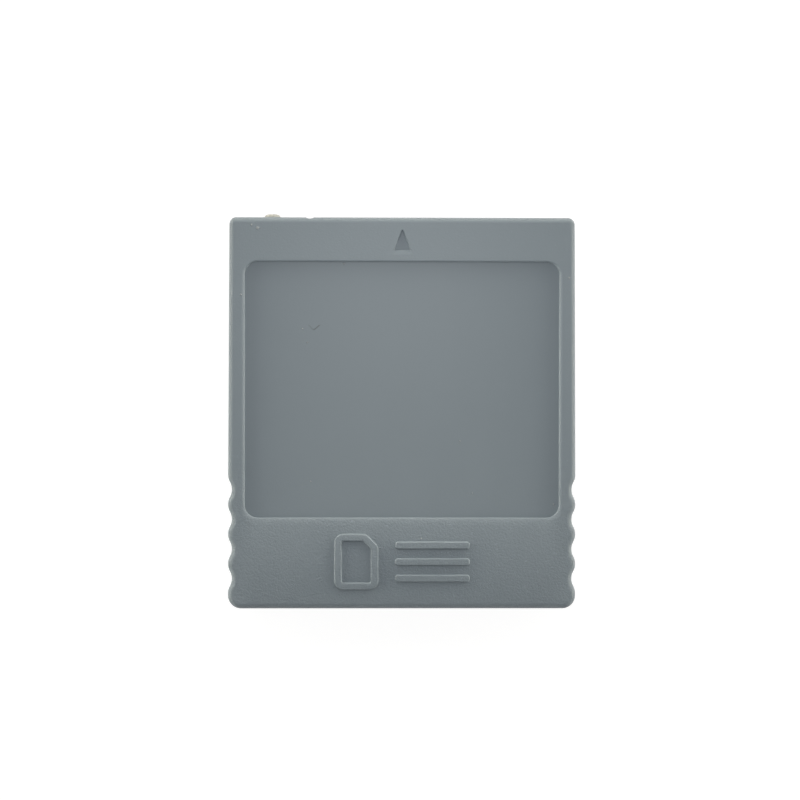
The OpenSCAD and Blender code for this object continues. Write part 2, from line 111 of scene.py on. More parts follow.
def arc(
    centre: Sequence[float],
    radius: float,
    start: float,
    end: float,
    hollow: bool = False,
    steps: int = 10,
) -> Plan:
    """An arc of an outline: point = centre + radius * (cos t, sin t), with t in equal steps.

    Args:
        centre: Centre of the arc.
        radius: Its radius.
        start: Angle of its first point.
        end: Angle of its last point.
        hollow: True where the arc's centre lies outside the outline.
        steps: Number of steps.

    Returns:
        The open arc, both ends included, with the outward directions.
    """
    t = np.radians(np.linspace(start, end, steps + 1))
    out = np.stack([np.cos(t), np.sin(t)], axis=1)
    return Plan(np.array(centre) + radius * out, -out if hollow else out)


def joined(arcs: Sequence[Plan]) -> Plan:
    """The closed outline through several arcs; where two ends meet, one of the two points goes.

    Args:
        arcs: The open arcs, in order.

    Returns:
        The closed outline.
    """
    points = np.concatenate([a.points for a in arcs])
    normals = np.concatenate([a.normals for a in arcs])
    apart = np.linalg.norm(points - np.roll(points, 1, axis=0), axis=1) > 1e-6
    return Plan(points[apart], normals[apart])


def disc(centre: Sequence[float], radius: float) -> Plan:
    """A circle's outline, in 40 steps."""
    return joined([arc(centre, radius, 0, 360, steps=40)])


def unit(vectors: Array) -> Array:
    """Each row divided by its length."""
    return vectors / np.linalg.norm(vectors, axis=-1, keepdims=True)


def cornered(corners: Points, radius: float = 0, steps: int = 8) -> Plan:
    """A convex polygon whose corners are rounded, or sharp where the radius is 0.

    With u and v the directions from a corner to its two neighbours and 2a the angle between them,
    the arc's centre lies on their bisector at radius / sin a, and the arc turns by 180 - 2a from the
    outward direction of the edge that comes in. At a sharp corner the mitre is -bisector / sin a.

    Args:
        corners: The polygon's corners, anticlockwise.
        radius: Radius of every corner.
        steps: Steps of each corner's arc.

    Returns:
        The closed outline.
    """
    c = np.array(corners, float)
    u = unit(np.roll(c, 1, axis=0) - c)
    v = unit(np.roll(c, -1, axis=0) - c)
    half = np.arccos((u * v).sum(axis=1, keepdims=True)) / 2
    bisector = unit(u + v)
    if radius == 0:
        return Plan(c, -bisector / np.sin(half))
    start = np.arctan2(u[:, :1], -u[:, 1:])
    t = start + (np.pi - 2 * half) * np.linspace(0, 1, steps + 1)
    out = np.stack([np.cos(t), np.sin(t)], axis=2)
    centres = c + bisector * radius / np.sin(half)
    return Plan((centres[:, None] + radius * out).reshape(-1, 2), out.reshape(-1, 2))


def oblong(low: Sequence[float], high: Sequence[float], radius: float = 0, steps: int = 8) -> Plan:
    """A rectangle between two corners, its corners rounded."""
    return cornered([low, (high[0], low[1]), high, (low[0], high[1])], radius, steps)


def skin(rings: Array, closed: bool = False) -> Surface:
    """A closed surface through rings of points.

    Its quads join point j of ring i to point j + 1 and to the same two points of ring i + 1. The
    first and last ring are capped, or joined to each other.

    Args:
        rings: The points, as (rings, points in a ring, 3).
        closed: True where the last ring joins the first.

    Returns:
        The surface.
    """
    count, size, _ = rings.shape
    index = np.arange(count * size).reshape(count, size)
    right = np.roll(index, -1, axis=1)
    above, above_right = np.roll(index, -1, axis=0), np.roll(right, -1, axis=0)
    quads = np.stack([index, right, above_right, above], axis=2)
    if closed:
        return Surface(rings.reshape(-1, 3), quads.reshape(-1, 4).tolist())
    caps = [index[0, ::-1].tolist(), index[-1].tolist()]
    return Surface(rings.reshape(-1, 3), quads[:-1].reshape(-1, 4).tolist() + caps)


def carry(plan: Plan, profile: Points, closed: bool = False, lay: Lay = Lay.FLAT) -> Surface:
    """A profile carried round a plan: point (i, j) = plan point j - inset i * normal j, at depth i.

    Args:
        plan: The outline.
        profile: Rows of inset and depth. A negative inset lies outside the outline.
        closed: True where the profile is a closed loop, so that the surface is a ring.
        lay: Which way the plan lies.

    Returns:
        The closed surface.
    """
    inset, depth = np.array(profile, float).T
    flat = plan.points - inset[:, None, None] * plan.normals
    deep = np.broadcast_to(depth[:, None, None], flat.shape[:2] + (1,))
    rings = np.concatenate([flat, deep], axis=2)
    return skin(rings[:, :, list(lay.value)], closed)


def block(low: Sequence[float], high: Sequence[float]) -> Surface:
    """A plain block between two corners."""
    return carry(oblong(low[:2], high[:2]), [[0, low[2]], [0, high[2]]])


def rounding(middle: Sequence[float], radius: float, start: float, end: float, steps: int = 8) -> Array:
    """Profile rows along an arc: middle + radius * (cos t, sin t), as inset and depth."""
    return arc(middle, radius, start, end, steps=steps).points


def softened(path: Points, radius: float, steps: int = 6) -> Array:
    """An open path whose inner corners are rounded.

    A corner c gives way to the curve (1 - t)^2 p + 2 t (1 - t) c + t^2 q, where p and q lie on its
    two sides at the given distance from it.

    Args:
        path: The corners, in a plane.
        radius: Distance from a corner at which its curve starts and ends.
        steps: Steps of each curve.

    Returns:
        The points of the rounded path.
    """
    c = np.array(path, float)
    inner = c[1:-1, None]
    p = inner + radius * unit(c[:-2, None] - inner)
    q = inner + radius * unit(c[2:, None] - inner)
    t = np.linspace(0, 1, steps + 1)[None, :, None]
    curves = (1 - t) ** 2 * p + 2 * t * (1 - t) * inner + t**2 * q
    return np.concatenate([c[:1], curves.reshape(-1, 2), c[-1:]])


def ribbon(path: Array, thickness: float, low: Array | float, high: Array | float, lay: Lay) -> Surface:
    """A strip of sheet metal with softened edges, carried along a path in a plane.

    Ring i is a rounded rectangle: path i + n * across, at a height between low i and high i, where n
    is the path's normal, shortened by the bend's cosine so that the sheet keeps its thickness.

    Args:
        path: The middle of the sheet, as rows of two coordinates.
        thickness: Thickness of the sheet.
        low: Lower edge of the strip, one for all points of the path or one each.
        high: Upper edge of the strip.
        lay: Which way the path's plane lies.

    Returns:
        The closed strip.
    """
    step = unit(np.diff(path, axis=0))
    before, after = np.vstack([step[:1], step]), np.vstack([step, step[-1:]])
    along = (before + after) / (1 + (before * after).sum(axis=1, keepdims=True))
    normal = np.stack([-along[:, 1], along[:, 0]], axis=1)
    half = thickness / 2
    low, high = (np.broadcast_to(edge, len(path)) for edge in (low, high))
    section = oblong((-half, -1), (half, 1), half * 0.6, steps=3).points
    across, up = section[:, 0], section[:, 1]
    flat = path[:, None] + normal[:, None] * across[None, :, None]
    middle, reach = (low + high) / 2, (high - low) / 2
    edge = np.sign(up) * (1 - np.abs(up))
    height = middle[:, None] + np.sign(up) * reach[:, None] - edge
    rings = np.concatenate([flat, height[:, :, None]], axis=2)
    return skin(rings[:, :, list(lay.value)])


def linked(name: str, data: bpy.types.ID) -> Piece:
    """A new object with the given data, placed in the scene."""
    piece = bpy.data.objects.new(name, data)
    bpy.context.scene.collection.objects.link(piece)
    return piece


def solid(surface: Surface, name: str = "tool") -> Piece:
    """A new object in millimetres, its doubles merged and its faces pointing outwards.

    Args:
        surface: The closed surface.
        name: The object's name.

    Returns:
        The object, at the origin.
    """
    mesh = bpy.data.meshes.new(name)
    mesh.from_pydata(surface.points.tolist(), [], surface.faces)
    shape = bmesh.new()
    shape.from_mesh(mesh)
    bmesh.ops.remove_doubles(shape, verts=shape.verts, dist=1e-5)
    bmesh.ops.recalc_face_normals(shape, faces=shape.faces)
    shape.to_mesh(mesh)
    shape.free()
    return linked(name, mesh)


def settle(piece: Piece) -> None:
    """Applies the modifiers of a piece to its mesh.

    Args:
        piece: The piece, which gets a new mesh and keeps its name.
    """
    graph = bpy.context.evaluated_depsgraph_get()
    mesh = bpy.data.meshes.new_from_object(piece.evaluated_get(graph))
    before = piece.data
    piece.modifiers.clear()
    piece.data = mesh
    bpy.data.meshes.remove(before)
    mesh.name = piece.name


def shape(piece: Piece, join: Join, surfaces: Sequence[Surface]) -> None:
    """Adds closed surfaces to a solid, or cuts them out of it.

    Args:
        piece: The solid, still in millimetres.
        join: Whether the surfaces are added or cut.
        surfaces: The closed surfaces.
    """
    tools = [solid(surface) for surface in surfaces]
    holder = bpy.data.collections.new("tools")
    bpy.context.scene.collection.children.link(holder)
    for tool in tools:
        holder.objects.link(tool)
    modifier = piece.modifiers.new(join.name, "BOOLEAN")
    modifier.operation = join.value
    modifier.solver = "EXACT"
    modifier.operand_type = "COLLECTION"
    modifier.collection = holder
    settle(piece)
    for tool in tools:
        bpy.data.meshes.remove(tool.data)
    bpy.data.collections.remove(holder)


def finish(piece: Piece, material: bpy.types.Material, slot: str, nodes: Sequence[str]) -> None:
    """Brings a solid to metres, shades and dresses it, and puts it in place of CAD nodes.

    Args:
        piece: The solid, in millimetres.
        material: Its material.
        slot: A material slot's name, not used.
        nodes: The CAD nodes that it stands for.
    """
    mesh = piece.data
    mesh.transform(Matrix.Scale(MM, 4))
    mesh.materials.clear()
    mesh.materials.append(material)
    mesh.shade_smooth()
    mesh.set_sharp_from_angle(angle=np.radians(SHARP))
    even = piece.modifiers.new("even_normals", "WEIGHTED_NORMAL")
    even.keep_sharp = True
    even.mode = "FACE_AREA"
    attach(piece, BODY)
    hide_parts(*nodes)
    LOG.info("%s: %d faces in place of %s", piece.name, len(mesh.polygons), ", ".join(nodes))


class Value:
    """A number that varies over a surface: a node's output, whose arithmetic adds Math nodes."""

    def __init__(self, graph: "Graph", socket: Socket) -> None:
        """Takes the output, and the graph that its arithmetic adds nodes to."""
        self.graph = graph
        self.socket = socket

    def __add__(self, other: object) -> "Value":
        """Sum."""
        return self.graph.math("ADD", self, other)

    def __sub__(self, other: object) -> "Value":
        """Difference."""
        return self.graph.math("SUBTRACT", self, other)

    def __rsub__(self, other: object) -> "Value":
        """Difference from a plain number."""
        return self.graph.math("SUBTRACT", other, self)

    def __mul__(self, other: object) -> "Value":
        """Product."""
        return self.graph.math("MULTIPLY", self, other)

    def __truediv__(self, other: object) -> "Value":
        """Quotient."""
        return self.graph.math("DIVIDE", self, other)

    def __abs__(self) -> "Value":
        """Distance from 0."""
        return self.graph.math("ABSOLUTE", self)

    __radd__, __rmul__ = __add__, __mul__


Values = dict[str, Value]


class Graph:
    """A node tree, with short ways to add nodes and join them."""

    def __init__(self, tree: bpy.types.NodeTree) -> None:
        """Takes the tree that the nodes go into."""
        self.tree = tree

    def node(self, kind: str, inputs: dict | None = None, **settings: object) -> bpy.types.Node:
        """Adds a node.

        Args:
            kind: Blender's name of the node.
            inputs: For each input by name or number, a value or the socket that feeds it.
            settings: Properties of the node.

        Returns:
            The node.
        """
        made = self.tree.nodes.new(kind)
        for key, value in settings.items():
            setattr(made, key, value)
        for key, value in (inputs or {}).items():
            self.feed(made.inputs[key], value)
        return made

    def feed(self, socket: Socket, value: object) -> None:
        """Joins a socket to the one that feeds it, or sets its value.

        Args:
            socket: The input.
            value: A Value or an output that feeds it, or else the input's own value.
        """
        source = value.socket if isinstance(value, Value) else value
        if isinstance(source, Socket):
            self.tree.links.new(source, socket)
        else:
            socket.default_value = source

    def outputs(self, node: bpy.types.Node) -> Values:
        """A node's outputs by name."""
        return {socket.name: Value(self, socket) for socket in node.outputs}

    def math(self, operation: str, *values: object) -> Value:
        """A Math node's result."""
        node = self.node("ShaderNodeMath", dict(enumerate(values)), operation=operation)
        return Value(self, node.outputs[0])

    def vector(self, operation: str, *values: object) -> Values:
        """The results of a Vector Math node: its Vector, and its Value where it gives a number."""
        return self.outputs(self.node("ShaderNodeVectorMath", dict(enumerate(values)), operation=operation))

    def parts(self, vector: object) -> Values:
        """The X, Y and Z of a vector."""
        return self.outputs(self.node("ShaderNodeSeparateXYZ", {0: vector}))

    def mix(self, mask: object, first: object, second: object) -> Value:
        """A number between two, by a mask."""
        return Value(self, self.node("ShaderNodeMix", {0: mask, 2: first, 3: second}).outputs[0])

    def blend(self, mask: object, first: object, second: object, way: str = "MIX") -> Socket:
        """A colour between two, by a mask."""
        inputs = {0: mask, 6: first, 7: second}
        return self.node("ShaderNodeMix", inputs, data_type="RGBA", blend_type=way).outputs[2]

    def between(self, value: object, low: float, high: float, last: float = 1.0) -> Value:
        """A value stretched smoothly from low to high onto 0 to last.

        Args:
            value: The value.
            low: Where the result is 0. It may lie above high, and the result then falls.
            high: Where the result is last.
            last: The largest result.

        Returns:
            The stretched value, which stays between 0 and last.
        """
        inputs = {"Value": value, "From Min": low, "From Max": high, "To Min": 0.0, "To Max": last}
        node = self.node("ShaderNodeMapRange", inputs, interpolation_type="SMOOTHSTEP")
        return Value(self, node.outputs[0])

    def noise(self, place: object, size: float, detail: float = 2.0) -> Value:
        """Noise whose lumps are about one size wide, in millimetres, with no side of its own."""
        inputs = {"Vector": place, "Scale": 1 / size, "Detail": detail, "Roughness": 0.55}
        return Value(self, self.node("ShaderNodeTexNoise", inputs).outputs["Fac"])


def colour(rgb: Colour, tone: float = 1.0) -> tuple[float, float, float, float]:
    """A colour with its alpha, made lighter or darker by a tone."""
    return (*(c * tone for c in rgb), 1.0)


def grey(tone: float) -> tuple[float, float, float, float]:
    """A grey with its alpha."""
    return (tone, tone, tone, 1.0)


@dataclass(frozen=True)
class Effect:
    """A shader node group with named inputs and outputs, built once and placed in many materials."""

    name: str
    inputs: dict[str, object]
    outputs: tuple[str, ...]

    def tree(self) -> bpy.types.NodeTree:
        """The group, made on its first use."""
        if self.name in bpy.data.node_groups:
            return bpy.data.node_groups[self.name]
        tree = bpy.data.node_groups.new(self.name, "ShaderNodeTree")
        for name, value in self.inputs.items():
            kind = "NodeSocketVector" if isinstance(value, tuple) else "NodeSocketFloat"
            tree.interface.new_socket(name, in_out="INPUT", socket_type=kind).default_value = value
        for name in self.outputs:
            kind = "NodeSocketVector" if name == "Place" else "NodeSocketFloat"
            tree.interface.new_socket(name, in_out="OUTPUT", socket_type=kind)
        graph = Graph(tree)
        given = graph.outputs(graph.node("NodeGroupInput"))
        graph.node("NodeGroupOutput", self.fill(graph, given))
        return tree

    def fill(self, graph: Graph, given: Values) -> Values:
        """Adds the group's nodes. Each effect has its own.

        Args:
            graph: The group's nodes.
            given: The group's inputs by name.

        Returns:
            The value of each output by name.
        """
        raise NotImplementedError

    def place(self, graph: Graph, **values: object) -> Values:
        """Puts the group into a material.

        Args:
            graph: The material's nodes.
            values: For each input, a value or the socket that feeds it.

        Returns:
            The outputs of the placed group.
        """
        node = graph.node("ShaderNodeGroup", node_tree=self.tree())
        for key, value in values.items():
            graph.feed(node.inputs[key], value)
        return graph.outputs(node)


class Millimetres(Effect):
    """The place of a point on the piece, in millimetres."""

    def fill(self, graph: Graph, given: Values) -> Values:
        """place = object coordinates / 0.001."""
        where = graph.node("ShaderNodeTexCoord").outputs["Object"]
        place = graph.vector("DIVIDE", where, (MM, MM, MM))["Vector"]
        return {"Place": place} | graph.parts(place)


class Grain(Effect):
    """The eroded grain of a mould: fine pits, uneven patches and a few pale flecks."""

    def fill(self, graph: Graph, given: Values) -> Values:
        """Height = two sizes of noise; Patch = broad noise; Fleck = the highest lumps alone."""
        stretched = graph.vector("DIVIDE", given["Place"], given["Size"])["Vector"]
        height = graph.noise(stretched, 0.42, 2.0) * 0.45 + graph.noise(stretched, 1.0, 3.0)
        fleck = graph.between(graph.noise(stretched, 1.7, 1.0), 0.68, 0.76)
        return {"Height": height, "Patch": graph.noise(given["Place"], 5.0, 3.0), "Fleck": fleck}


class Spot(Effect):
    """One speck of dust, seen from the front: a round spot with a torn edge."""

    def fill(self, graph: Graph, given: Values) -> Values:
        """Mask falls from 1 to 0 as the distance from the centre, seen along Z, passes the radius."""
        torn = graph.noise(given["Place"], 0.12, 2.0) * given["Radius"]
        flat = graph.vector("MULTIPLY", given["Place"], (1.0, 1.0, 0.0))["Vector"]
        far = graph.vector("DISTANCE", flat, given["Centre"])["Value"]
        return {"Mask": graph.between((far + torn) / given["Radius"], 1.5, 0.7)}


class Thread(Effect):
    """A short hair pressed into the surface: a tick with a rounded foot, darker to its right."""

    def fill(self, graph: Graph, given: Values) -> Values:
        """Mask is 1 on y = |x - 0.12 y|, rounded at its foot, and ends where y is the reach."""
        away = graph.parts(graph.vector("SUBTRACT", given["Place"], given["Foot"])["Vector"])
        up, reach = away["Y"], given["Reach"]
        across = away["X"] - up * 0.12
        rise = graph.math("SMOOTH_MAX", across, across * -1.0, reach)
        line = graph.between(abs(up - rise) / given["Width"], 1.4, 0.4)
        ends = graph.between(up / reach, 1.1, 0.85)
        strong = graph.between(across, -0.2, 0.2, 0.6) + 0.4
        return {"Mask": line * ends * strong}


class Scratches(Effect):
    """Long fine lines along one axis, as left by brushing or by a sliding contact."""

    def fill(self, graph: Graph, given: Values) -> Values:
        """Noise of a place that is squeezed across the lines and stretched along them."""
        squeezed = graph.vector("DIVIDE", given["Place"], given["Size"])["Vector"]
        return {"Height": graph.noise(squeezed, 1.0, 4.0)}


MILLIMETRES = Millimetres("millimetres", {}, ("Place", "X", "Y", "Z"))
ORIGIN = (0.0, 0.0, 0.0)
GRAIN = Grain("mould_grain", {"Place": ORIGIN, "Size": (0.2, 0.2, 0.2)}, ("Height", "Patch", "Fleck"))
SPOT = Spot("dust_spot", {"Place": ORIGIN, "Centre": ORIGIN, "Radius": 0.2}, ("Mask",))
THREAD = Thread("pressed_hair", {"Place": ORIGIN, "Foot": ORIGIN, "Reach": 0.6, "Width": 0.1}, ("Mask",))
SCRATCHES = Scratches("fine_scratches", {"Place": ORIGIN, "Size": (0.1, 4.0, 0.1)}, ("Height",))


@dataclass(frozen=True)
class Look:
    """What a finish gives the shader: colour, roughness, a height of some depth, and a normal."""

    tone: Socket
    rough: Value
    height: Value
    depth: float
    normal: Value | None = None


@dataclass(frozen=True)
class Finish:
    """What every finish has: a name and the constants of its shader."""

    name: str
    base: Colour
    rough: float
    metallic: float = 0.0

    def material(self) -> bpy.types.Material:
        """The material, made on its first use."""
        if self.name in bpy.data.materials:
            return bpy.data.materials[self.name]
        made = bpy.data.materials.new(self.name)
        made.use_nodes = True
        graph = Graph(made.node_tree)
        look = self.dress(graph, MILLIMETRES.place(graph))
        bumpy = {"Height": look.height, "Strength": 1.0, "Distance": look.depth * MM}
        bump = graph.node("ShaderNodeBump", bumpy)
        if look.normal:
            graph.feed(bump.inputs["Normal"], look.normal)
        shader = made.node_tree.nodes["Principled BSDF"].inputs
        graph.feed(shader["Metallic"], self.metallic)
        graph.feed(shader["Base Color"], look.tone)
        graph.feed(shader["Roughness"], look.rough)
        graph.feed(shader["Normal"], bump.outputs[0])
        return made

    def dress(self, graph: Graph, where: Values) -> Look:
        """Adds the finish's nodes. Each finish has its own.

        Args:
            graph: The material's nodes.
            where: The place on the piece in millimetres, whole and as X, Y and Z.

        Returns:
            What the shader is given.
        """
        raise NotImplementedError


@dataclass(frozen=True)
class Speck:
    """A pale speck of dust on the front: where it lies, and its radius."""

    x: float
    y: float
    radius: float


@dataclass(frozen=True)
class MouldedPlastic(Finish):
    """Matte case plastic with an eroded grain, finer towards the nose and on the recess's floor, painted
    darker as shade.
    """

    grain_size: float = 0.24
    grain_depth: float = 0.07
    patch_tones: tuple[float, float] = (0.965, 1.035)
    flecks: float = 0.16
    fleck_tone: float = 1.9
    smooth_low: float = 7.3
    smooth_high: float = 7.75
    smooth_half: float = 18.6
    smooth_share: float = 0.85
    # Painted shade of the recess: the floor's colour is multiplied by this
    floor_shade_tone: float = 0.96
    fine_from: tuple[float, float] = (-11.0, -2.0)
    fine_share: float = 0.72
    sink: float = 0.0034
    sink_middle: float = 1.5
    crown: float = 0.025
    crown_middle: float = -17.5
    crown_from: float = -12.2
    crown_sides: tuple[float, float] = (19.0, 16.5)
    face: float = 7.95
    specks: tuple[Speck, ...] = ()
    dust: Colour = (0.5, 0.52, 0.53)
    dust_share: float = 0.5
    hair: tuple[float, float, float] | None = None
    hair_width: float = 0.11
    hair_tone: float = 0.35
    hair_share: float = 0.65
    gate_from: tuple[float, float] | None = None
    gate_tone: Colour = (0.37, 0.375, 0.35)

    def dress(self, graph: Graph, where: Values) -> Look:
        """Grain everywhere, then the smoother recess with painted shade on its floor, dust, the hair mark
        and the torn gate.
        """
        grain = GRAIN.place(graph, Place=where["Place"], Size=(self.grain_size,) * 3)
        floor = self.recess_floor(graph, where)
        fine = graph.between(where["Y"], *self.fine_from, self.fine_share)
        coarse = (1 - floor * self.smooth_share) * (1 - fine)
        tone = graph.blend(grain["Patch"], *(colour(self.base, tone) for tone in self.patch_tones))
        # Painted shade: the recess floor's colour is made a little darker than the rim's, standing in for
        # the shade in the recess
        shaded_floor_tone = graph.blend(1.0, tone, grey(self.floor_shade_tone), "MULTIPLY")
        tone = graph.blend(floor, tone, shaded_floor_tone)
        flecks = grain["Fleck"] * coarse * self.flecks
        tone = graph.blend(flecks, tone, colour(self.base, self.fleck_tone))
        dust = self.dust_mask(graph, where)
        tone = graph.blend(dust * self.dust_share, tone, colour(self.dust))
        if self.hair:
            x, y, reach = self.hair
            given = {"Foot": (x, y, 0.0), "Reach": reach, "Width": self.hair_width}
            mark = THREAD.place(graph, Place=where["Place"], **given)
            tone = graph.blend(mark["Mask"] * self.hair_share, tone, colour(self.base, self.hair_tone))
        if self.gate_from:
            tone = graph.blend(graph.between(where["Y"], *self.gate_from), tone, colour(self.gate_tone))
        rough = grain["Patch"] * 0.1 + (self.rough - 0.05) + floor * -0.05
        height = grain["Height"] * coarse + dust * 1.5
        return Look(tone, rough, height, self.grain_depth, self.leant(graph, where, floor))

    def leant(self, graph: Graph, where: Values, floor: Value) -> Value:
        """The normal, leant along Y: the recess's thin floor is sunk and the grip's face is crowned.

        Lean = sink * (middle - y) on the floor, and crown * (y - middle of the grip) on its face.

        Args:
            graph: The material's nodes.
            where: The place on the piece.
            floor: 1 on the recess's floor.

        Returns:
            The unit normal.
        """
        sunk = (self.sink_middle - where["Y"]) * self.sink * floor
        grip = graph.between(where["Z"], self.face - 0.1, self.face)
        grip *= graph.between(where["Y"], self.crown_from, self.crown_from - 1)
        grip *= graph.between(abs(where["X"]), *self.crown_sides)
        domed = (where["Y"] - self.crown_middle) * self.crown * grip
        lean = graph.node("ShaderNodeCombineXYZ", {1: sunk + domed}).outputs[0]
        normal = graph.node("ShaderNodeNewGeometry").outputs["Normal"]
        return graph.vector("NORMALIZE", graph.vector("ADD", normal, lean)["Vector"])["Vector"]

    def recess_floor(self, graph: Graph, where: Values) -> Value:
        """Finds the floor of the recess by its height.

        Args:
            graph: The material's nodes.
            where: The place on the piece.

        Returns:
            1 on the floor, and 0 elsewhere.
        """
        above = graph.between(where["Z"], self.smooth_low, self.smooth_low + 0.05)
        below = graph.between(where["Z"], self.smooth_high, self.smooth_high - 0.1)
        return above * below * graph.between(abs(where["X"]), self.smooth_half, self.smooth_half - 0.3)

    def dust_mask(self, graph: Graph, where: Values) -> Value:
        """The specks, one placed group each, joined by the highest, on the front alone.

        Args:
            graph: The material's nodes.
            where: The place on the piece.

        Returns:
            1 on a speck, and 0 elsewhere.
        """
        total: Value | float = 0.0
        for speck in self.specks:
            centre = (speck.x, speck.y, 0.0)
            spot = SPOT.place(graph, Place=where["Place"], Centre=centre, Radius=speck.radius)
            total = graph.math("MAXIMUM", total, spot["Mask"])
        return total * graph.between(where["Z"], self.smooth_low - 0.1, self.smooth_low + 0.1)


@dataclass(frozen=True)
class SocketPlastic(Finish):
    """Black glass-filled plastic, with short pale fibres showing in its skin."""

    def dress(self, graph: Graph, where: Values) -> Look:
        """Fibres are scratches along Y that only show where a broad noise is high."""
        fibres = SCRATCHES.place(graph, Place=where["Place"], Size=(0.07, 0.9, 0.07))["Height"]
        seen = graph.between(fibres, 0.56, 0.7)
        grain = GRAIN.place(graph, Place=where["Place"], Size=(0.15, 0.15, 0.15))
        tone = graph.blend(seen * 0.35, colour(self.base), colour(self.base, 4.5))
        return Look(tone, grain["Patch"] * 0.2 + (self.rough - 0.1), grain["Height"] + seen, 0.006)


@dataclass(frozen=True)
class PlatedMetal(Finish):
    """Thin bright plating with fine wipe lines along Y and faint stains."""

    lines: tuple[float, float, float] = (0.05, 3.0, 0.05)
    stain: Colour = (0.45, 0.25, 0.08)

    def dress(self, graph: Graph, where: Values) -> Look:
        """Lines change the roughness and the normal; patches darken the colour a little."""
        lines = SCRATCHES.place(graph, Place=where["Place"], Size=self.lines)["Height"]
        stained = graph.between(graph.noise(where["Place"], 1.6, 4.0), 0.5, 0.75, 0.35)
        tone = graph.blend(stained, colour(self.base), colour(self.stain))
        return Look(tone, lines * 0.3 + (self.rough - 0.12) + stained * 0.3, lines, 0.004)


@dataclass(frozen=True)
class Laminate(Finish):
    """Green solder mask over copper tracks, with bare glass laminate on the cut edges."""

    track_pitch: float = 2.0
    tracks_from: float = 7.2
    tracks_to: float = 15.0
    tracks_half: float = 11.8
    edge_depth: float = 0.03
    bare: tuple[Colour, Colour] = ((0.24, 0.22, 0.1), (0.34, 0.31, 0.17))

    def dress(self, graph: Graph, where: Values) -> Look:
        """Tracks are lighter, raised lines that run back from the pads; edges show the weave."""
        track = self.tracks(graph, where)
        weave = self.threads(graph, where["X"]) * self.threads(graph, where["Y"])
        mask = graph.blend(track, colour(self.base), colour(self.base, 1.9))
        mask = graph.blend(weave * 0.12, mask, colour(self.base, 2.2))
        edge = graph.math("GREATER_THAN", where["Z"], BOARD_LOW + self.edge_depth)
        edge *= graph.math("LESS_THAN", where["Z"], BOARD_TOP - self.edge_depth)
        layers = self.threads(graph, where["Z"] * 5.0)
        tone = graph.blend(edge, mask, graph.blend(layers, *(colour(bare) for bare in self.bare)))
        patch = graph.noise(where["Place"], 2.0, 3.0)
        rough = patch * 0.16 + (self.rough - 0.08) + edge * 0.4
        return Look(tone, rough, track * 2.0 + weave * 0.3 + patch, 0.012)

    def threads(self, graph: Graph, value: Value) -> Value:
        """A soft wave of the weave: 0.5 + 0.5 sin(value * 12)."""
        return graph.math("SINE", value * 12.0) * 0.5 + 0.5

    def tracks(self, graph: Graph, where: Values) -> Value:
        """Lines at the pads' pitch between two places, leaning sideways where they spread.

        Args:
            graph: The material's nodes.
            where: The place on the piece.

        Returns:
            1 on a track, and 0 elsewhere.
        """
        lean = graph.between(where["Y"], 13.0, 10.0) * 0.9
        off = abs(graph.math("FRACT", (where["X"] + lean) / self.track_pitch) - 0.5)
        line = graph.between(off, 0.1, 0.08)
        line *= graph.between(abs(where["X"]), self.tracks_half, self.tracks_half - 0.2)
        line *= graph.between(where["Y"], self.tracks_from, self.tracks_from + 0.3)
        return line * graph.between(where["Y"], self.tracks_to, self.tracks_to - 0.1)


@dataclass(frozen=True)
class Ceramic(Finish):
    """Fired ceramic or glaze of a chip part, slightly mottled."""

    def dress(self, graph: Graph, where: Values) -> Look:
        """A fine mottle in colour, roughness and height."""
        mottle = graph.noise(where["Place"], 0.12, 4.0)
        tone = graph.blend(mottle, colour(self.base, 0.75), colour(self.base, 1.3))
        return Look(tone, mottle * 0.25 + (self.rough - 0.12), mottle, 0.008)


CASE_GREY: Colour = (0.178, 0.215, 0.242)
SPECKS = (
    Speck(-16.6, 21.25, 0.24),
    Speck(-17.3, 21.6, 0.14),
    Speck(-11.45, 9.7, 0.1),
    Speck(-18.5, 13.6, 0.12),
    Speck(-6.7, 17.2, 0.12),
    Speck(19.2, 15.6, 0.14),
    Speck(-10.9, 8.15, 0.1),
    Speck(6.7, -3.2, 0.1),
    Speck(-10.5, -7.85, 0.11),
    Speck(8.1, -9.2, 0.1),
    Speck(17.5, -10.5, 0.12),
    Speck(2.2, -14.4, 0.12),
)
FRONT_PLASTIC = MouldedPlastic(
    "front_plastic", CASE_GREY, 0.5, specks=SPECKS, hair=(-10.2, 9.5, 0.64), gate_from=(22.56, 22.7)
)
REAR_PLASTIC = MouldedPlastic("rear_plastic", CASE_GREY, 0.5, smooth_low=90.0, smooth_high=91.0)
SOCKET_BLACK = SocketPlastic("socket_black", (0.02, 0.02, 0.022), 0.5)
GOLD = PlatedMetal("gold_plating", (0.78, 0.56, 0.22), 0.3, metallic=1.0)
STEEL = PlatedMetal("brushed_steel", (0.55, 0.56, 0.57), 0.38, 1.0, (0.06, 7.0, 0.06), (0.4, 0.41, 0.42))
TIN = PlatedMetal("tinned_end", (0.62, 0.62, 0.6), 0.42, 1.0, (0.12, 0.12, 0.12), (0.5, 0.49, 0.46))
BOARD_GREEN = Laminate("solder_mask", (0.03, 0.11, 0.055), 0.36)
CHIP_BLACK = Ceramic("chip_black", (0.02, 0.02, 0.022), 0.4)
CHIP_TAN = Ceramic("chip_tan", (0.36, 0.25, 0.14), 0.5)


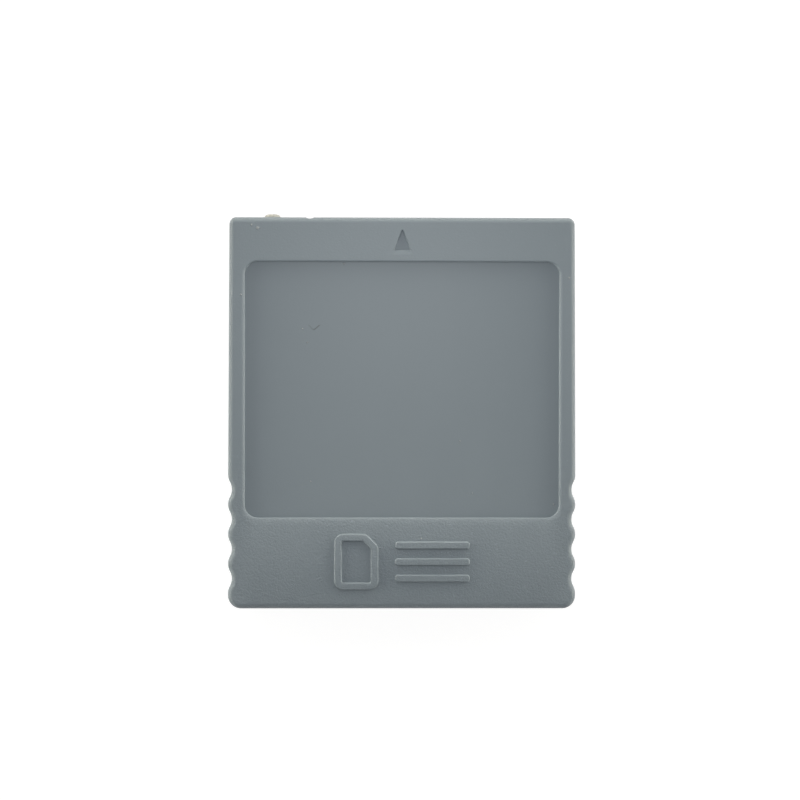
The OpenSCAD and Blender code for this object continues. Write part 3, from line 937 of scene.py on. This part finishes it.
@dataclass
class Case:
    """The two moulded halves: their outline, their edges and what they hold inside."""

    width: float
    length: float
    nose_taper: float = 0.26
    height: float = 8.0
    parting: float = 4.0
    edge: float = 0.65
    seam: float = 0.08
    nose_corner: float = 0.8
    grip_corner: float = 1.5
    grooves: int = 4
    pitch: float = 3.42
    groove: float = 0.43
    land: float = 0.23
    wall: float = 1.4
    end_wall: float = 1.6
    rear_wall: float = 1.2
    ceiling: float = 6.4
    lap: float = 0.6
    lap_clear: float = 0.1
    rim: float = 1.9
    recess_floor: float = 7.5
    recess_from_nose: float = 5.1
    recess_length: float = 29.45
    recess_corner: float = 1.5
    lip_reach: tuple[float, float, float] = (1.0, 0.4, 0.2)
    lip_drop: float = 0.2
    pocket_fillet: float = 0.05
    arrow_from_nose: float = 1.45
    arrow_width: float = 1.75
    arrow_length: float = 2.27
    arrow_depth: float = 0.25
    arrow_corner: float = 0.03
    arrow_reach: tuple[float, float, float] = (0.7, 0.25, 0.1)
    boss_radius: float = 1.2
    bore_radius: float = 0.7
    peg_radius: float = 0.65
    peg_length: float = 1.6
    boss_from_end: float = 6.0
    posts: tuple[tuple[float, float], ...] = ((-16.27, 10.9), (16.27, 10.9))
    post_radius: float = 0.8
    post_gap: float = 0.05
    mouth_half: float = 13.6
    mouth_low: float = 2.0
    mouth_high: float = 6.2
    guide: float = 1.2
    guide_from: float = 13.3
    rib: float = 1.0
    rib_ends: tuple[float, float] = (-19.6, 12.0)
    rib_half: float = 11.75
    ribs_along: tuple[float, ...] = (-12, 0, 12)
    ribs_across: tuple[float, ...] = (15.0, 18.5)
    slot_half: float = 12.25
    slot_low: float = 3.575
    slot_high: float = 6.025
    slot_bevel: float = 0.5
    nick: tuple[float, float, float] = (-10.63, 0.85, 0.16)
    torn_gate: tuple[float, float, float, float] = (-14.98, 0.9, 4.6, 5.8)

    def __post_init__(self) -> None:
        """Works out the places that follow from the sizes."""
        self.nose = self.length / 2
        self.grip = -self.length / 2
        self.cavity_half = self.width / 2 - self.wall - self.groove
        self.cavity_end = self.length / 2 - self.end_wall
        boss_x = self.cavity_half - self.boss_radius + ROOT
        boss_y = self.length / 2 - self.boss_from_end
        self.bosses = [(x * boss_x, y * boss_y) for x in (-1, 1) for y in (-1, 1)]

    def side(self) -> Plan:
        """The +X side of the outline, from the grip end up to the nose.

        Each groove is an arc of one radius r whose centre lies outside, and each crest between two
        grooves is an arc of the same radius whose centre lies inside, so that they meet without a
        corner: with q a quarter of the pitch and d the depth, r = (q^2 + (d / 2)^2) / d.
        """
        quarter = self.pitch / 4
        radius = (quarter**2 + (self.groove / 2) ** 2) / self.groove
        lean = np.degrees(np.arcsin(quarter / radius))
        half = self.width / 2
        first = self.grip + self.grip_corner + self.land + self.pitch / 2
        parts = [
            arc((half - self.grip_corner, self.grip + self.grip_corner), self.grip_corner, -90, 0),
            arc((half - radius, first - self.pitch / 2), radius, 0, lean),
        ]
        for i in range(self.grooves):
            middle = first + i * self.pitch
            end = 0 if i == self.grooves - 1 else lean
            outside = (half - self.groove + radius, middle)
            parts.append(arc(outside, radius, 180 + lean, 180 - lean, hollow=True))
            parts.append(arc((half - radius, middle + self.pitch / 2), radius, -lean, end))
        nose_x = half - self.nose_taper / 2 - self.nose_corner
        parts.append(arc((nose_x, self.nose - self.nose_corner), self.nose_corner, 0, 90))
        return joined(parts)

    def outline(self) -> Plan:
        """The whole outline: the +X side, then its mirror image back down."""
        side = self.side()
        flip = np.array([-1, 1])
        return Plan(
            np.concatenate([side.points, side.points[::-1] * flip]),
            np.concatenate([side.normals, side.normals[::-1] * flip]),
        )

    def foot(self) -> Array:
        """The outline of the flat back, inside its rounded edge."""
        plan = self.outline()
        return plan.points - self.edge * plan.normals

    def cavity_plan(self, grow: float = 0) -> Plan:
        """The plan of the cavity, grown by a wall's thickness."""
        x, y = self.cavity_half + grow, self.cavity_end + grow
        return oblong((-x, -y), (x, y), 1 + grow)

    def cavity(self, low: float, high: float) -> Surface:
        """The room inside, between two heights."""
        return carry(self.cavity_plan(), [[0, low], [0, high]])

    def pins(self, places: Points, radius: float, low: float, high: float) -> list[Surface]:
        """A pin or bore at each place."""
        return [carry(disc(place, radius), [[0, low], [0, high]]) for place in places]

    def guides(self, low: float, high: float) -> list[Surface]:
        """The walls beside the mouth that lead the plug in.

        Args:
            low: Their lower end.
            high: Their upper end.

        Returns:
            One block for each side.
        """
        x, far = self.mouth_half, self.mouth_half + self.guide
        y, end = self.guide_from, self.cavity_end + ROOT
        return [block((-far, y, low), (-x, end, high)), block((x, y, low), (far, end, high))]

    def mouth(self) -> Surface:
        """The opening of the nose, whose outer edge is rounded off."""
        plan = oblong((-self.mouth_half, self.mouth_low), (self.mouth_half, self.mouth_high), 0.3)
        lip = rounding((-0.25, self.nose - 0.25), 0.25, 0, 80)
        profile = [[0, self.cavity_end - OVER], *lip, [-0.4, self.nose + OVER]]
        return carry(plan, profile, lay=Lay.UPRIGHT)

    def slot(self) -> Surface:
        """The opening of the grip, with its bevel."""
        plan = oblong((-self.slot_half, self.slot_low), (self.slot_half, self.slot_high), 0.15)
        bevel = self.slot_bevel
        profile = [
            [-bevel - OVER, self.grip - OVER],
            [-bevel + 0.03, self.grip + 0.03],
            [-0.05, self.grip + bevel - 0.05],
            [0, self.grip + bevel + 0.05],
            [0, self.end_wall + self.grip + OVER],
        ]
        return carry(plan, profile, lay=Lay.UPRIGHT)

    def front(self) -> Piece:
        """The front half: recess, arrow, raised marks, bosses, posts, guides and the torn gate."""
        turn = rounding((self.edge, self.height - self.edge), self.edge, 180, 90, steps=14)
        wall = [[self.seam, self.parting], [0, self.parting + self.seam]]
        piece = solid(carry(self.outline(), [*wall, *turn]), "front_case")
        shape(piece, Join.CUT, [self.cavity(self.parting - OVER, self.ceiling)])
        top = self.ceiling + ROOT
        added = self.pins(self.bosses, self.boss_radius, self.parting, top)
        added += self.pins(self.posts, self.post_radius, BOARD_TOP + self.post_gap, top)
        added += self.guides(self.parting, top)
        added += Marks(self.grip, self.height).surfaces()
        added.append(self.gate())
        shape(piece, Join.ADD, added)
        cuts = [self.lap_ring(), self.mouth(), self.slot(), self.recess(), self.arrow(), self.dent()]
        bore_end = self.parting + self.peg_length + self.lap_clear
        cuts += self.pins(self.bosses, self.bore_radius, self.parting - OVER, bore_end)
        shape(piece, Join.CUT, cuts)
        return piece

    def rear(self) -> Piece:
        """The rear half: plain back, lap lip, bosses with pegs, guides and the ribs of the board."""
        turn = rounding((self.edge, self.edge), self.edge, 270, 180, steps=14)
        wall = [[0, self.parting - self.seam], [self.seam, self.parting]]
        piece = solid(carry(self.outline(), [*turn, *wall]), "rear_case")
        top = self.parting + self.lap
        lip = carry(self.cavity_plan(self.lap), [[0, self.parting - 1], [0, top - 0.08], [0.08, top]])
        shape(piece, Join.ADD, [lip])
        shape(piece, Join.CUT, [self.cavity(self.rear_wall, top + OVER)])
        shape(piece, Join.ADD, self.pegs() + self.guides(self.rear_wall - ROOT, self.parting) + self.ribs())
        shape(piece, Join.CUT, [self.mouth(), self.slot()])
        return piece

    def lap_ring(self) -> Surface:
        """The rebate that the rear half's lip sets into."""
        out, clear = self.lap + self.lap_clear, self.lap_clear
        low, high = self.parting - OVER, self.parting + out
        section = [[-out, low], [clear, low], [clear, high], [-out, high]]
        return carry(self.cavity_plan(), section, closed=True)

    def pocket(self, plan: Plan, floor: float, drop: float, reach: Sequence[float]) -> Surface:
        """A shallow pocket in the front: a small fillet at its floor, then a lip that rounds out.

        Point (i, j) = plan j - inset i * normal j inside the outline. Outside it the inset is a share
        of the lip's reach, and the lip is a quarter of an ellipse, reach wide and drop deep.

        Args:
            plan: Outline of the pocket at its wall.
            floor: Height of its floor.
            drop: How far the lip falls from the face to the wall.
            reach: How far the lip reaches out on the grip's side, at the flanks and on the nose's.

        Returns:
            The closed surface to cut out.
        """
        fillet = self.pocket_fillet
        low = rounding((fillet, floor + fillet), fillet, 270, 180, steps=5)
        lip = rounding((-1, 0), 1, 0, 80, steps=12) * (1, drop) + (0, self.height - drop)
        inset, depth = np.vstack([low, lip, [-1.1, self.height + 0.02]]).T[:, :, None]
        out = np.where(inset < 0, np.interp(plan.normals[:, 1], [-1, 0, 1], reach), 1)
        flat = plan.points - (inset * out)[:, :, None] * plan.normals
        deep = np.broadcast_to(depth, flat.shape[:2])[:, :, None]
        return skin(np.concatenate([flat, deep], axis=2))

    def recess(self) -> Surface:
        """The label recess."""
        half = self.width / 2 - self.rim
        high = self.nose - self.recess_from_nose
        plan = oblong((-half, high - self.recess_length), (half, high), self.recess_corner, steps=14)
        return self.pocket(plan, self.recess_floor, self.lip_drop, self.lip_reach)

    def arrow(self) -> Surface:
        """The engraved arrow, a triangle that points at the nose."""
        tip, half = self.nose - self.arrow_from_nose, self.arrow_width / 2
        base = tip - self.arrow_length
        plan = cornered([(0, tip), (-half, base), (half, base)], self.arrow_corner, steps=6)
        floor = self.height - self.arrow_depth
        return self.pocket(plan, floor, self.arrow_depth - self.pocket_fillet, self.arrow_reach)

    def gate(self) -> Surface:
        """The stub where the moulding was broken off: an oval heap whose rings are torn at random."""
        middle, reach, low, high = self.torn_gate
        torn = np.random.default_rng(5)
        t = np.linspace(0, 2 * np.pi, 28, endpoint=False)
        size = np.array([1, 1, 0.97, 0.86, 0.7, 0.45, 0.2])[:, None]
        depth = self.nose + np.array([-0.4, 0.05, 0.2, 0.33, 0.42, 0.47, 0.48])[:, None]
        rough = 1 + 0.05 * np.sin(2 * t + 1) + 0.03 * np.sin(5 * t) + 0.015 * torn.uniform(-1, 1, (7, 28))
        x = middle + reach * size * rough * np.cos(t)
        z = (low + high) / 2 + (high - low) / 2 * size * rough * np.sin(t)
        y = depth + 0.01 * torn.uniform(-1, 0, (7, 28))
        return skin(np.stack([x, y, z], axis=2))

    def dent(self) -> Surface:
        """The small nick in the edge of the nose."""
        x, radius, depth = self.nick
        centre = (x, self.nose + radius - depth)
        return carry(disc(centre, radius), [[0, self.parting - OVER], [0, self.height + OVER]])

    def pegs(self) -> list[Surface]:
        """The rear half's corner bosses, each with a bevelled peg."""
        low, top, bevel = self.rear_wall - ROOT, self.parting + self.peg_length, 0.2
        neck = self.boss_radius - self.peg_radius
        boss = [[0, low], [0, self.parting]]
        peg = [[neck, self.parting], [neck, top - bevel], [neck + bevel, top]]
        return [carry(disc(place, self.boss_radius), boss + peg) for place in self.bosses]

    def ribs(self) -> list[Surface]:
        """Three ribs along the board and two across, under the tongue."""
        low = self.rear_wall - ROOT
        first, last = self.rib_ends
        half, thick = self.rib_half, self.rib
        along = [((x - thick / 2, first, low), (x + thick / 2, last, BOARD_LOW)) for x in self.ribs_along]
        across = [((-half, y, low), (half, y + thick, BOARD_LOW)) for y in self.ribs_across]
        return [block(*corners) for corners in along + across]


@dataclass
class Marks:
    """Raised marks on the grip: a card with a cut corner, and a row of bars beside it."""

    grip: float
    face: float
    rise: float = 0.25
    middle: float = 5.4
    sign_x: float = -5.25
    sign_half: tuple[float, float] = (2.5, 3.2)
    sign_line: float = 0.8
    sign_cut: float = 1.4
    bar_x: float = 3.5
    bar_half: tuple[float, float] = (4.25, 0.4)
    bar_pitch: float = 1.9
    bars: int = 3
    flare: float = 0.12
    soft: float = 0.12

    def flank(self) -> list[list[float]]:
        """One side of a raised line: a hollow flare out of the face, then a round top edge."""
        foot = rounding((-self.flare, self.face + self.flare - 0.01), self.flare, 270, 360, steps=5)
        top = rounding((self.soft, self.face + self.rise - self.soft), self.soft, 180, 90, steps=6)
        return [[-self.flare, self.face - ROOT], *foot, *top]

    def surfaces(self) -> list[Surface]:
        """The sign's closed line, and each bar."""
        y = self.grip + self.middle
        sx, sy = self.sign_half
        corners = [(-sx, -sy), (sx, -sy), (sx, sy - self.sign_cut), (sx - self.sign_cut, sy), (-sx, sy)]
        plan = cornered([(self.sign_x + a, y + b) for a, b in corners], 1.0)
        outer = self.flank()
        inner = [[self.sign_line - inset, depth] for inset, depth in reversed(outer)]
        made = [carry(plan, outer + inner, closed=True)]
        bx, by = self.bar_half
        for i in range(self.bars):
            place = y + (i - (self.bars - 1) / 2) * self.bar_pitch
            bar = oblong((self.bar_x - bx, place - by), (self.bar_x + bx, place + by), 0.3)
            made.append(carry(bar, outer))
        return made


@dataclass
class Springs:
    """The nine contact springs of the socket: bent strips whose tails lie on the board."""

    stop: float = 6.3
    tail: float = 8.5
    card: float = 3.7
    foot: float = 0.6
    crown: float = 4.6
    tip: float = 5.6
    dip: float = 0.15
    thickness: float = 0.15
    width: float = 1.0
    tip_width: float = 0.7
    rise: float = 0.45
    row: int = 7
    row_from: float = -7.1
    pitch: float = 2.5
    outer: tuple[float, float] = (9.6, -9.6)

    def places(self) -> list[float]:
        """Where each spring stands: seven in the middle, then one at each side."""
        return [self.row_from + i * self.pitch for i in range(self.row)] + [*self.outer]

    def build(self) -> None:
        """Each spring's path rises from its tail to a crown and dips again at its tip."""
        half = self.thickness / 2
        corners = [
            (self.tail, BOARD_TOP + half),
            (self.stop - self.foot, BOARD_TOP + half),
            (self.stop - self.crown, self.card + self.rise - half),
            (self.stop - self.tip, self.card - self.dip),
        ]
        path = softened(corners, 0.45)
        narrows = [self.stop - self.tip, self.stop - self.tip + 2]
        narrow = np.interp(path[:, 0], narrows, [self.tip_width, self.width]) / 2
        for number, x in enumerate(self.places(), 1):
            strip = ribbon(path, self.thickness, x - narrow, x + narrow, Lay.EDGEWISE)
            piece = solid(strip, f"contact_spring_{number}")
            finish(piece, GOLD.material(), "gold_plate", [f"card_contact_{number}"])


@dataclass
class Switches:
    """The two side switches: each a spring that the card pushes, and the terminal that it meets."""

    x: float = 13.2
    low: float = 4.4
    high: float = 5.2
    sheet: float = 0.2
    half: float = 0.4
    foot: float = 1.9
    crown: float = 11.85
    reach: float = 8.4

    def root(self, y: float, side: int) -> Surface:
        """A tab that stands on the board with a foot bent outwards.

        Args:
            y: Its middle.
            side: 1 for the +X side and -1 for the other.

        Returns:
            The closed strip.
        """
        bottom = BOARD_TOP + self.sheet / 2
        path = softened([(self.x + self.foot, bottom), (self.x, bottom), (self.x, self.high)], 0.25)
        return ribbon(path * (side, 1), self.sheet, y - self.half, y + self.half, Lay.UPRIGHT)

    def build(self) -> None:
        """The card switch on the +X side and the write switch on the -X side."""
        for name, side, y in (("detect", 1, 1.5), ("protect", -1, -2.5)):
            bent = [(self.x, y), (self.x, y - 1.2), (self.crown, y - 3.6), (self.x - 0.45, y - 5.6)]
            straight = [(self.x, y - self.reach), (self.x, y - 5.2)]
            arms = {"spring": (softened(bent, 0.4), y), "terminal": (np.array(straight), y - self.reach)}
            for kind, (path, foot_y) in arms.items():
                piece = solid(self.root(foot_y, side), f"{name}_{kind}_strip")
                arm = ribbon(path * (side, 1), self.sheet, self.low, self.high - 0.01, Lay.FLAT)
                shape(piece, Join.ADD, [arm])
                finish(piece, GOLD.material(), "gold_plate", [f"{name}_{kind}"])


@dataclass
class Cover:
    """The socket's steel cover: one sheet folded over the sides, with feet and pressing tongues."""

    half: float = 14.15
    start: float = -20.6
    end: float = 7.0
    skirt: float = 3.6
    top: float = 6.0
    sheet: float = 0.2
    foot: float = 0.9
    foot_half: float = 1.0
    feet: tuple[float, float] = (-17.6, 4.3)
    tongues: tuple[float, float, float] = (-7.0, 0.0, 7.0)
    tongue_from: float = -14.6
    tongue_length: float = 6.0
    tongue_half: float = 1.0
    tongue_gap: float = 0.4

    def build(self) -> None:
        """A folded sheet along Y, with four feet joined on and three slots cut out."""
        x, low, top = self.half, self.skirt, self.top
        fold = softened([(-x, low), (-x, top), (x, top), (x, low)], 0.3)
        piece = solid(ribbon(fold, self.sheet, self.start, self.end, Lay.UPRIGHT), "steel_cover")
        bottom = BOARD_TOP + self.sheet / 2
        leg = softened([(x + self.foot + 0.1, bottom), (x, bottom), (x, top - 0.6)], 0.22)
        feet = []
        for side in (-1, 1):
            for y in self.feet:
                low, high = y - self.foot_half, y + self.foot_half
                feet.append(ribbon(leg * (side, 1), self.sheet * 0.98, low, high, Lay.UPRIGHT))
        shape(piece, Join.ADD, feet)
        shape(piece, Join.CUT, [cut for place in self.tongues for cut in self.tongue_cuts(place)])
        finish(piece, STEEL.material(), "cover_steel", ["socket_cover"])

    def tongue_cuts(self, x: float) -> list[Surface]:
        """The three-sided cut that frees a pressing tongue.

        Args:
            x: The tongue's middle.

        Returns:
            The three slots.
        """
        low, high = self.top - OVER, self.top + OVER
        y, half, gap = self.tongue_from, self.tongue_half, self.tongue_gap
        out = half + gap
        cuts = [block((x - out, y, low), (x + out, y + gap, high))]
        for side in (-1, 1):
            near, far = sorted((x + side * half, x + side * out))
            cuts.append(block((near, y + gap / 2, low), (far, y + self.tongue_length, high)))
        return cuts


@dataclass(frozen=True)
class Chip:
    """A small part on the board: a ceramic body between two tinned ends."""

    node: str
    place: int
    size: tuple[float, float, float]
    finish: Ceramic
    slot: str
    row: float = 10.9
    pitch: float = 4.0
    end: float = 0.3
    step: float = 0.03

    def build(self) -> None:
        """The body and both ends are blocks with rounded edges, the ends a little proud."""
        length, width, height = self.size
        x = self.place * self.pitch
        half, side = length / 2, width / 2
        plan = oblong((x - half + 0.05, self.row - side), (x + half - 0.05, self.row + side), 0.05, steps=4)
        body = self.rounded_block(plan, BOARD_TOP + self.step, BOARD_TOP + height, 0.04)
        piece = solid(body, f"{self.node}_body")
        finish(piece, self.finish.material(), self.slot, [self.node])
        for name, way in (("left", -1), ("right", 1)):
            middle = x + way * (half - self.end / 2 + self.step / 2)
            reach = (self.end + self.step) / 2
            top, proud = BOARD_TOP + height + self.step, side + self.step
            low, high = (middle - reach, self.row - proud), (middle + reach, self.row + proud)
            cap = self.rounded_block(oblong(low, high, 0.07, steps=4), BOARD_TOP, top, 0.06)
            piece = solid(cap, f"{self.node}_{name}_end")
            finish(piece, TIN.material(), self.slot, [self.node])

    def rounded_block(self, plan: Plan, low: float, high: float, radius: float) -> Surface:
        """A block on a plan, with its top edge rounded."""
        return carry(plan, [[0, low], *rounding((radius, high - radius), radius, 180, 90, steps=4)])


CHIPS = (
    Chip("decoupling_capacitor", -2, (1.6, 0.8, 0.8), CHIP_TAN, "capacitor_body"),
    Chip("resistor_1", -1, (1.6, 0.8, 0.45), CHIP_BLACK, "resistor_body"),
    Chip("resistor_2", 0, (1.6, 0.8, 0.45), CHIP_BLACK, "resistor_body"),
    Chip("resistor_3", 1, (1.6, 0.8, 0.45), CHIP_BLACK, "resistor_body"),
    Chip("supply_capacitor", 2, (3.2, 1.6, 1.3), CHIP_TAN, "capacitor_body"),
)


@dataclass
class Studio:
    """The pale floor, the soft light and the camera, at the photograph's viewing angle."""

    aim_height: float = 8.0
    distance: float = 300.0
    pitch: float = 0.65
    yaw: float = 1.26
    roll: float = -0.07
    focal_px: float = 2610.8
    centre_px: tuple[float, float] = (402.17, 413.19)
    image_px: float = 800.0
    sensor: float = 36.0
    floor_radius: float = 4000.0
    floor_bounce: float = 0.8
    floor_seen: float = 0.25
    floor_glow: float = 0.9
    sky_top: float = 0.245
    sky_sides: float = 14.0
    sky_nose: float = 6.5
    sky_under: float = 1.0
    sky_warm: Colour = (1.08, 1.0, 0.84)
    key_power: float = 0.0075
    key_place: tuple[float, float, float] = (0.0, 20.0, 55.0)
    key_size: float = 30.0

    def camera(self) -> None:
        """A camera whose turn is the inverse of Rz(roll) Ry(yaw) Rx(pitch), backed off along its axis."""
        angles = {"Z": self.roll, "Y": self.yaw, "X": self.pitch}
        roll, yaw, pitch = (Matrix.Rotation(np.radians(angle), 3, axis) for axis, angle in angles.items())
        turn = (roll @ yaw @ pitch).transposed()
        data = bpy.data.cameras.new("camera")
        data.sensor_width = self.sensor
        data.lens = self.focal_px / self.image_px * self.sensor
        data.shift_x = 0.5 - self.centre_px[0] / self.image_px
        data.shift_y = self.centre_px[1] / self.image_px - 0.5
        data.clip_start, data.clip_end = 0.01, 100.0
        camera = linked("camera", data)
        camera.matrix_world = turn.to_4x4()
        aim = np.array([0, 0, self.aim_height])
        camera.location = (aim + np.array(turn.col[2]) * self.distance) * MM
        bpy.context.scene.camera = camera

    def background_rays(self, graph: Graph) -> Value:
        """Tells the rays that look at the background: camera, glossy and transmission rays.

        Args:
            graph: The nodes of the surround or of the floor's material.

        Returns:
            1 for such a ray, and 0 for the others.
        """
        path = graph.outputs(graph.node("ShaderNodeLightPath"))
        seen = graph.math("MAXIMUM", path["Is Camera Ray"], path["Is Glossy Ray"])
        return graph.math("MAXIMUM", seen, path["Is Transmission Ray"])

    def floor(self, foot: Array) -> None:
        """A white floor that keeps a faint shadow for the camera, and that is clear from below.

        It is a flat ring: its inner edge is the outline of what rests on it, so that the two never
        lie in one plane, and point j of its outer edge is inner j / |inner j| * the floor's radius.

        Args:
            foot: Outline of the part's flat back.
        """
        count = len(foot)
        ring = np.concatenate([unit(foot) * self.floor_radius, foot])
        first = np.arange(count)
        after = np.roll(first, -1)
        quads = np.stack([first, after, after + count, first + count], axis=1)
        mesh = bpy.data.meshes.new("floor")
        mesh.from_pydata(np.pad(ring, ((0, 0), (0, 1))) * MM, [], quads.tolist())
        piece = linked("floor", mesh)
        made = bpy.data.materials.new("white_floor")
        made.use_nodes = True
        graph = Graph(made.node_tree)
        shader = made.node_tree.nodes["Principled BSDF"]
        seen = self.background_rays(graph)
        inputs = {
            "Roughness": 1.0,
            "Specular IOR Level": 0.0,
            "Base Color": graph.blend(seen, grey(self.floor_bounce), grey(self.floor_seen)),
            "Emission Color": grey(1.0),
            "Emission Strength": seen * self.floor_glow,
        }
        for name, value in inputs.items():
            graph.feed(shader.inputs[name], value)
        behind = graph.node("ShaderNodeNewGeometry").outputs["Backfacing"]
        clear = graph.node("ShaderNodeBsdfTransparent").outputs[0]
        both = graph.node("ShaderNodeMixShader", {0: behind, 1: shader.outputs[0], 2: clear})
        graph.feed(made.node_tree.nodes["Material Output"].inputs[0], both.outputs[0])
        mesh.materials.append(made)

    def world(self) -> None:
        """The surround: soft light from above, two low side lobes and one beyond the nose.

        Light = top + low(z) * (sides * lobe(|x|) * fore(y) + nose * lobe(y)), where fore keeps the
        side lobes off the grip's end. The low light is a little warm, and under the floor it is
        even. To look at, it is white.
        """
        world = bpy.data.worlds.new("studio")
        bpy.context.scene.world = world
        world.use_nodes = True
        graph = Graph(world.node_tree)
        way = graph.node("ShaderNodeTexCoord").outputs["Generated"]
        x, y, z = (graph.parts(way)[axis] for axis in "XYZ")
        low = graph.between(z, 0.4, 0.02)
        sides = graph.between(abs(x), 0.4, 0.9, self.sky_sides) * graph.between(y, -0.8, 0.0)
        nose = graph.between(y, 0.3, 0.9, self.sky_nose)
        under = graph.between(z, 0.0, -0.1)
        light = graph.mix(under, (sides + nose) * low + self.sky_top, self.sky_under)
        seen = self.background_rays(graph)
        warm = (low - under) * (1 - seen)
        background = world.node_tree.nodes["Background"].inputs
        graph.feed(background["Color"], graph.blend(warm, grey(1.0), colour(self.sky_warm)))
        graph.feed(background["Strength"], graph.mix(seen, light, 1.0))

    def lamps(self) -> None:
        """One soft lamp above the nose's half, aimed at the middle of the part."""
        data = bpy.data.lights.new("key", "AREA")
        data.shape = "DISK"
        data.size = self.key_size * MM
        data.energy = self.key_power
        lamp = linked("key", data)
        lamp.location = Vector(self.key_place) * MM
        lamp.rotation_euler = lamp.location.to_track_quat("Z", "Y").to_euler()

    def build(self, foot: Array) -> None:
        """Sets up the camera first, then the floor round the part's foot, and the light."""
        self.camera()
        self.floor(foot)
        self.world()
        self.lamps()
        bpy.context.scene.view_settings.view_transform = "Standard"


def dress_nodes() -> None:
    """Gives the CAD nodes that stay as they are their materials."""
    dressed = {
        "circuit_board": (BOARD_GREEN, "board_laminate"),
        "edge_contacts": (GOLD, "gold_plate"),
        "socket_body": (SOCKET_BLACK, "socket_plastic"),
    }
    for name, (look, slot) in dressed.items():
        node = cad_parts[name]
        node.data.materials.clear()
        node.data.materials.append(look.material())
        LOG.info("%s: kept, in %s", name, look.name)


def corners(bounds: Sequence[Sequence[float]]) -> list[list[float]]:
    """A box as plain lists."""
    return [[float(c) for c in corner] for corner in bounds]


def main() -> None:
    """Builds the studio, then each sub-assembly in order."""
    logging.basicConfig(level=logging.INFO, format="%(name)s: %(message)s")
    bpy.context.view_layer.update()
    low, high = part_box("rear_shell")
    case = Case((high.x - low.x) / MM, (high.y - low.y) / MM)
    Studio().build(case.foot())
    finish(case.front(), FRONT_PLASTIC.material(), "case_plastic", ["front_shell"])
    finish(case.rear(), REAR_PLASTIC.material(), "case_plastic", ["rear_shell"])
    Springs().build()
    Switches().build()
    Cover().build()
    for chip in CHIPS:
        chip.build()
    dress_nodes()


if __name__ == "__main__":
    main()
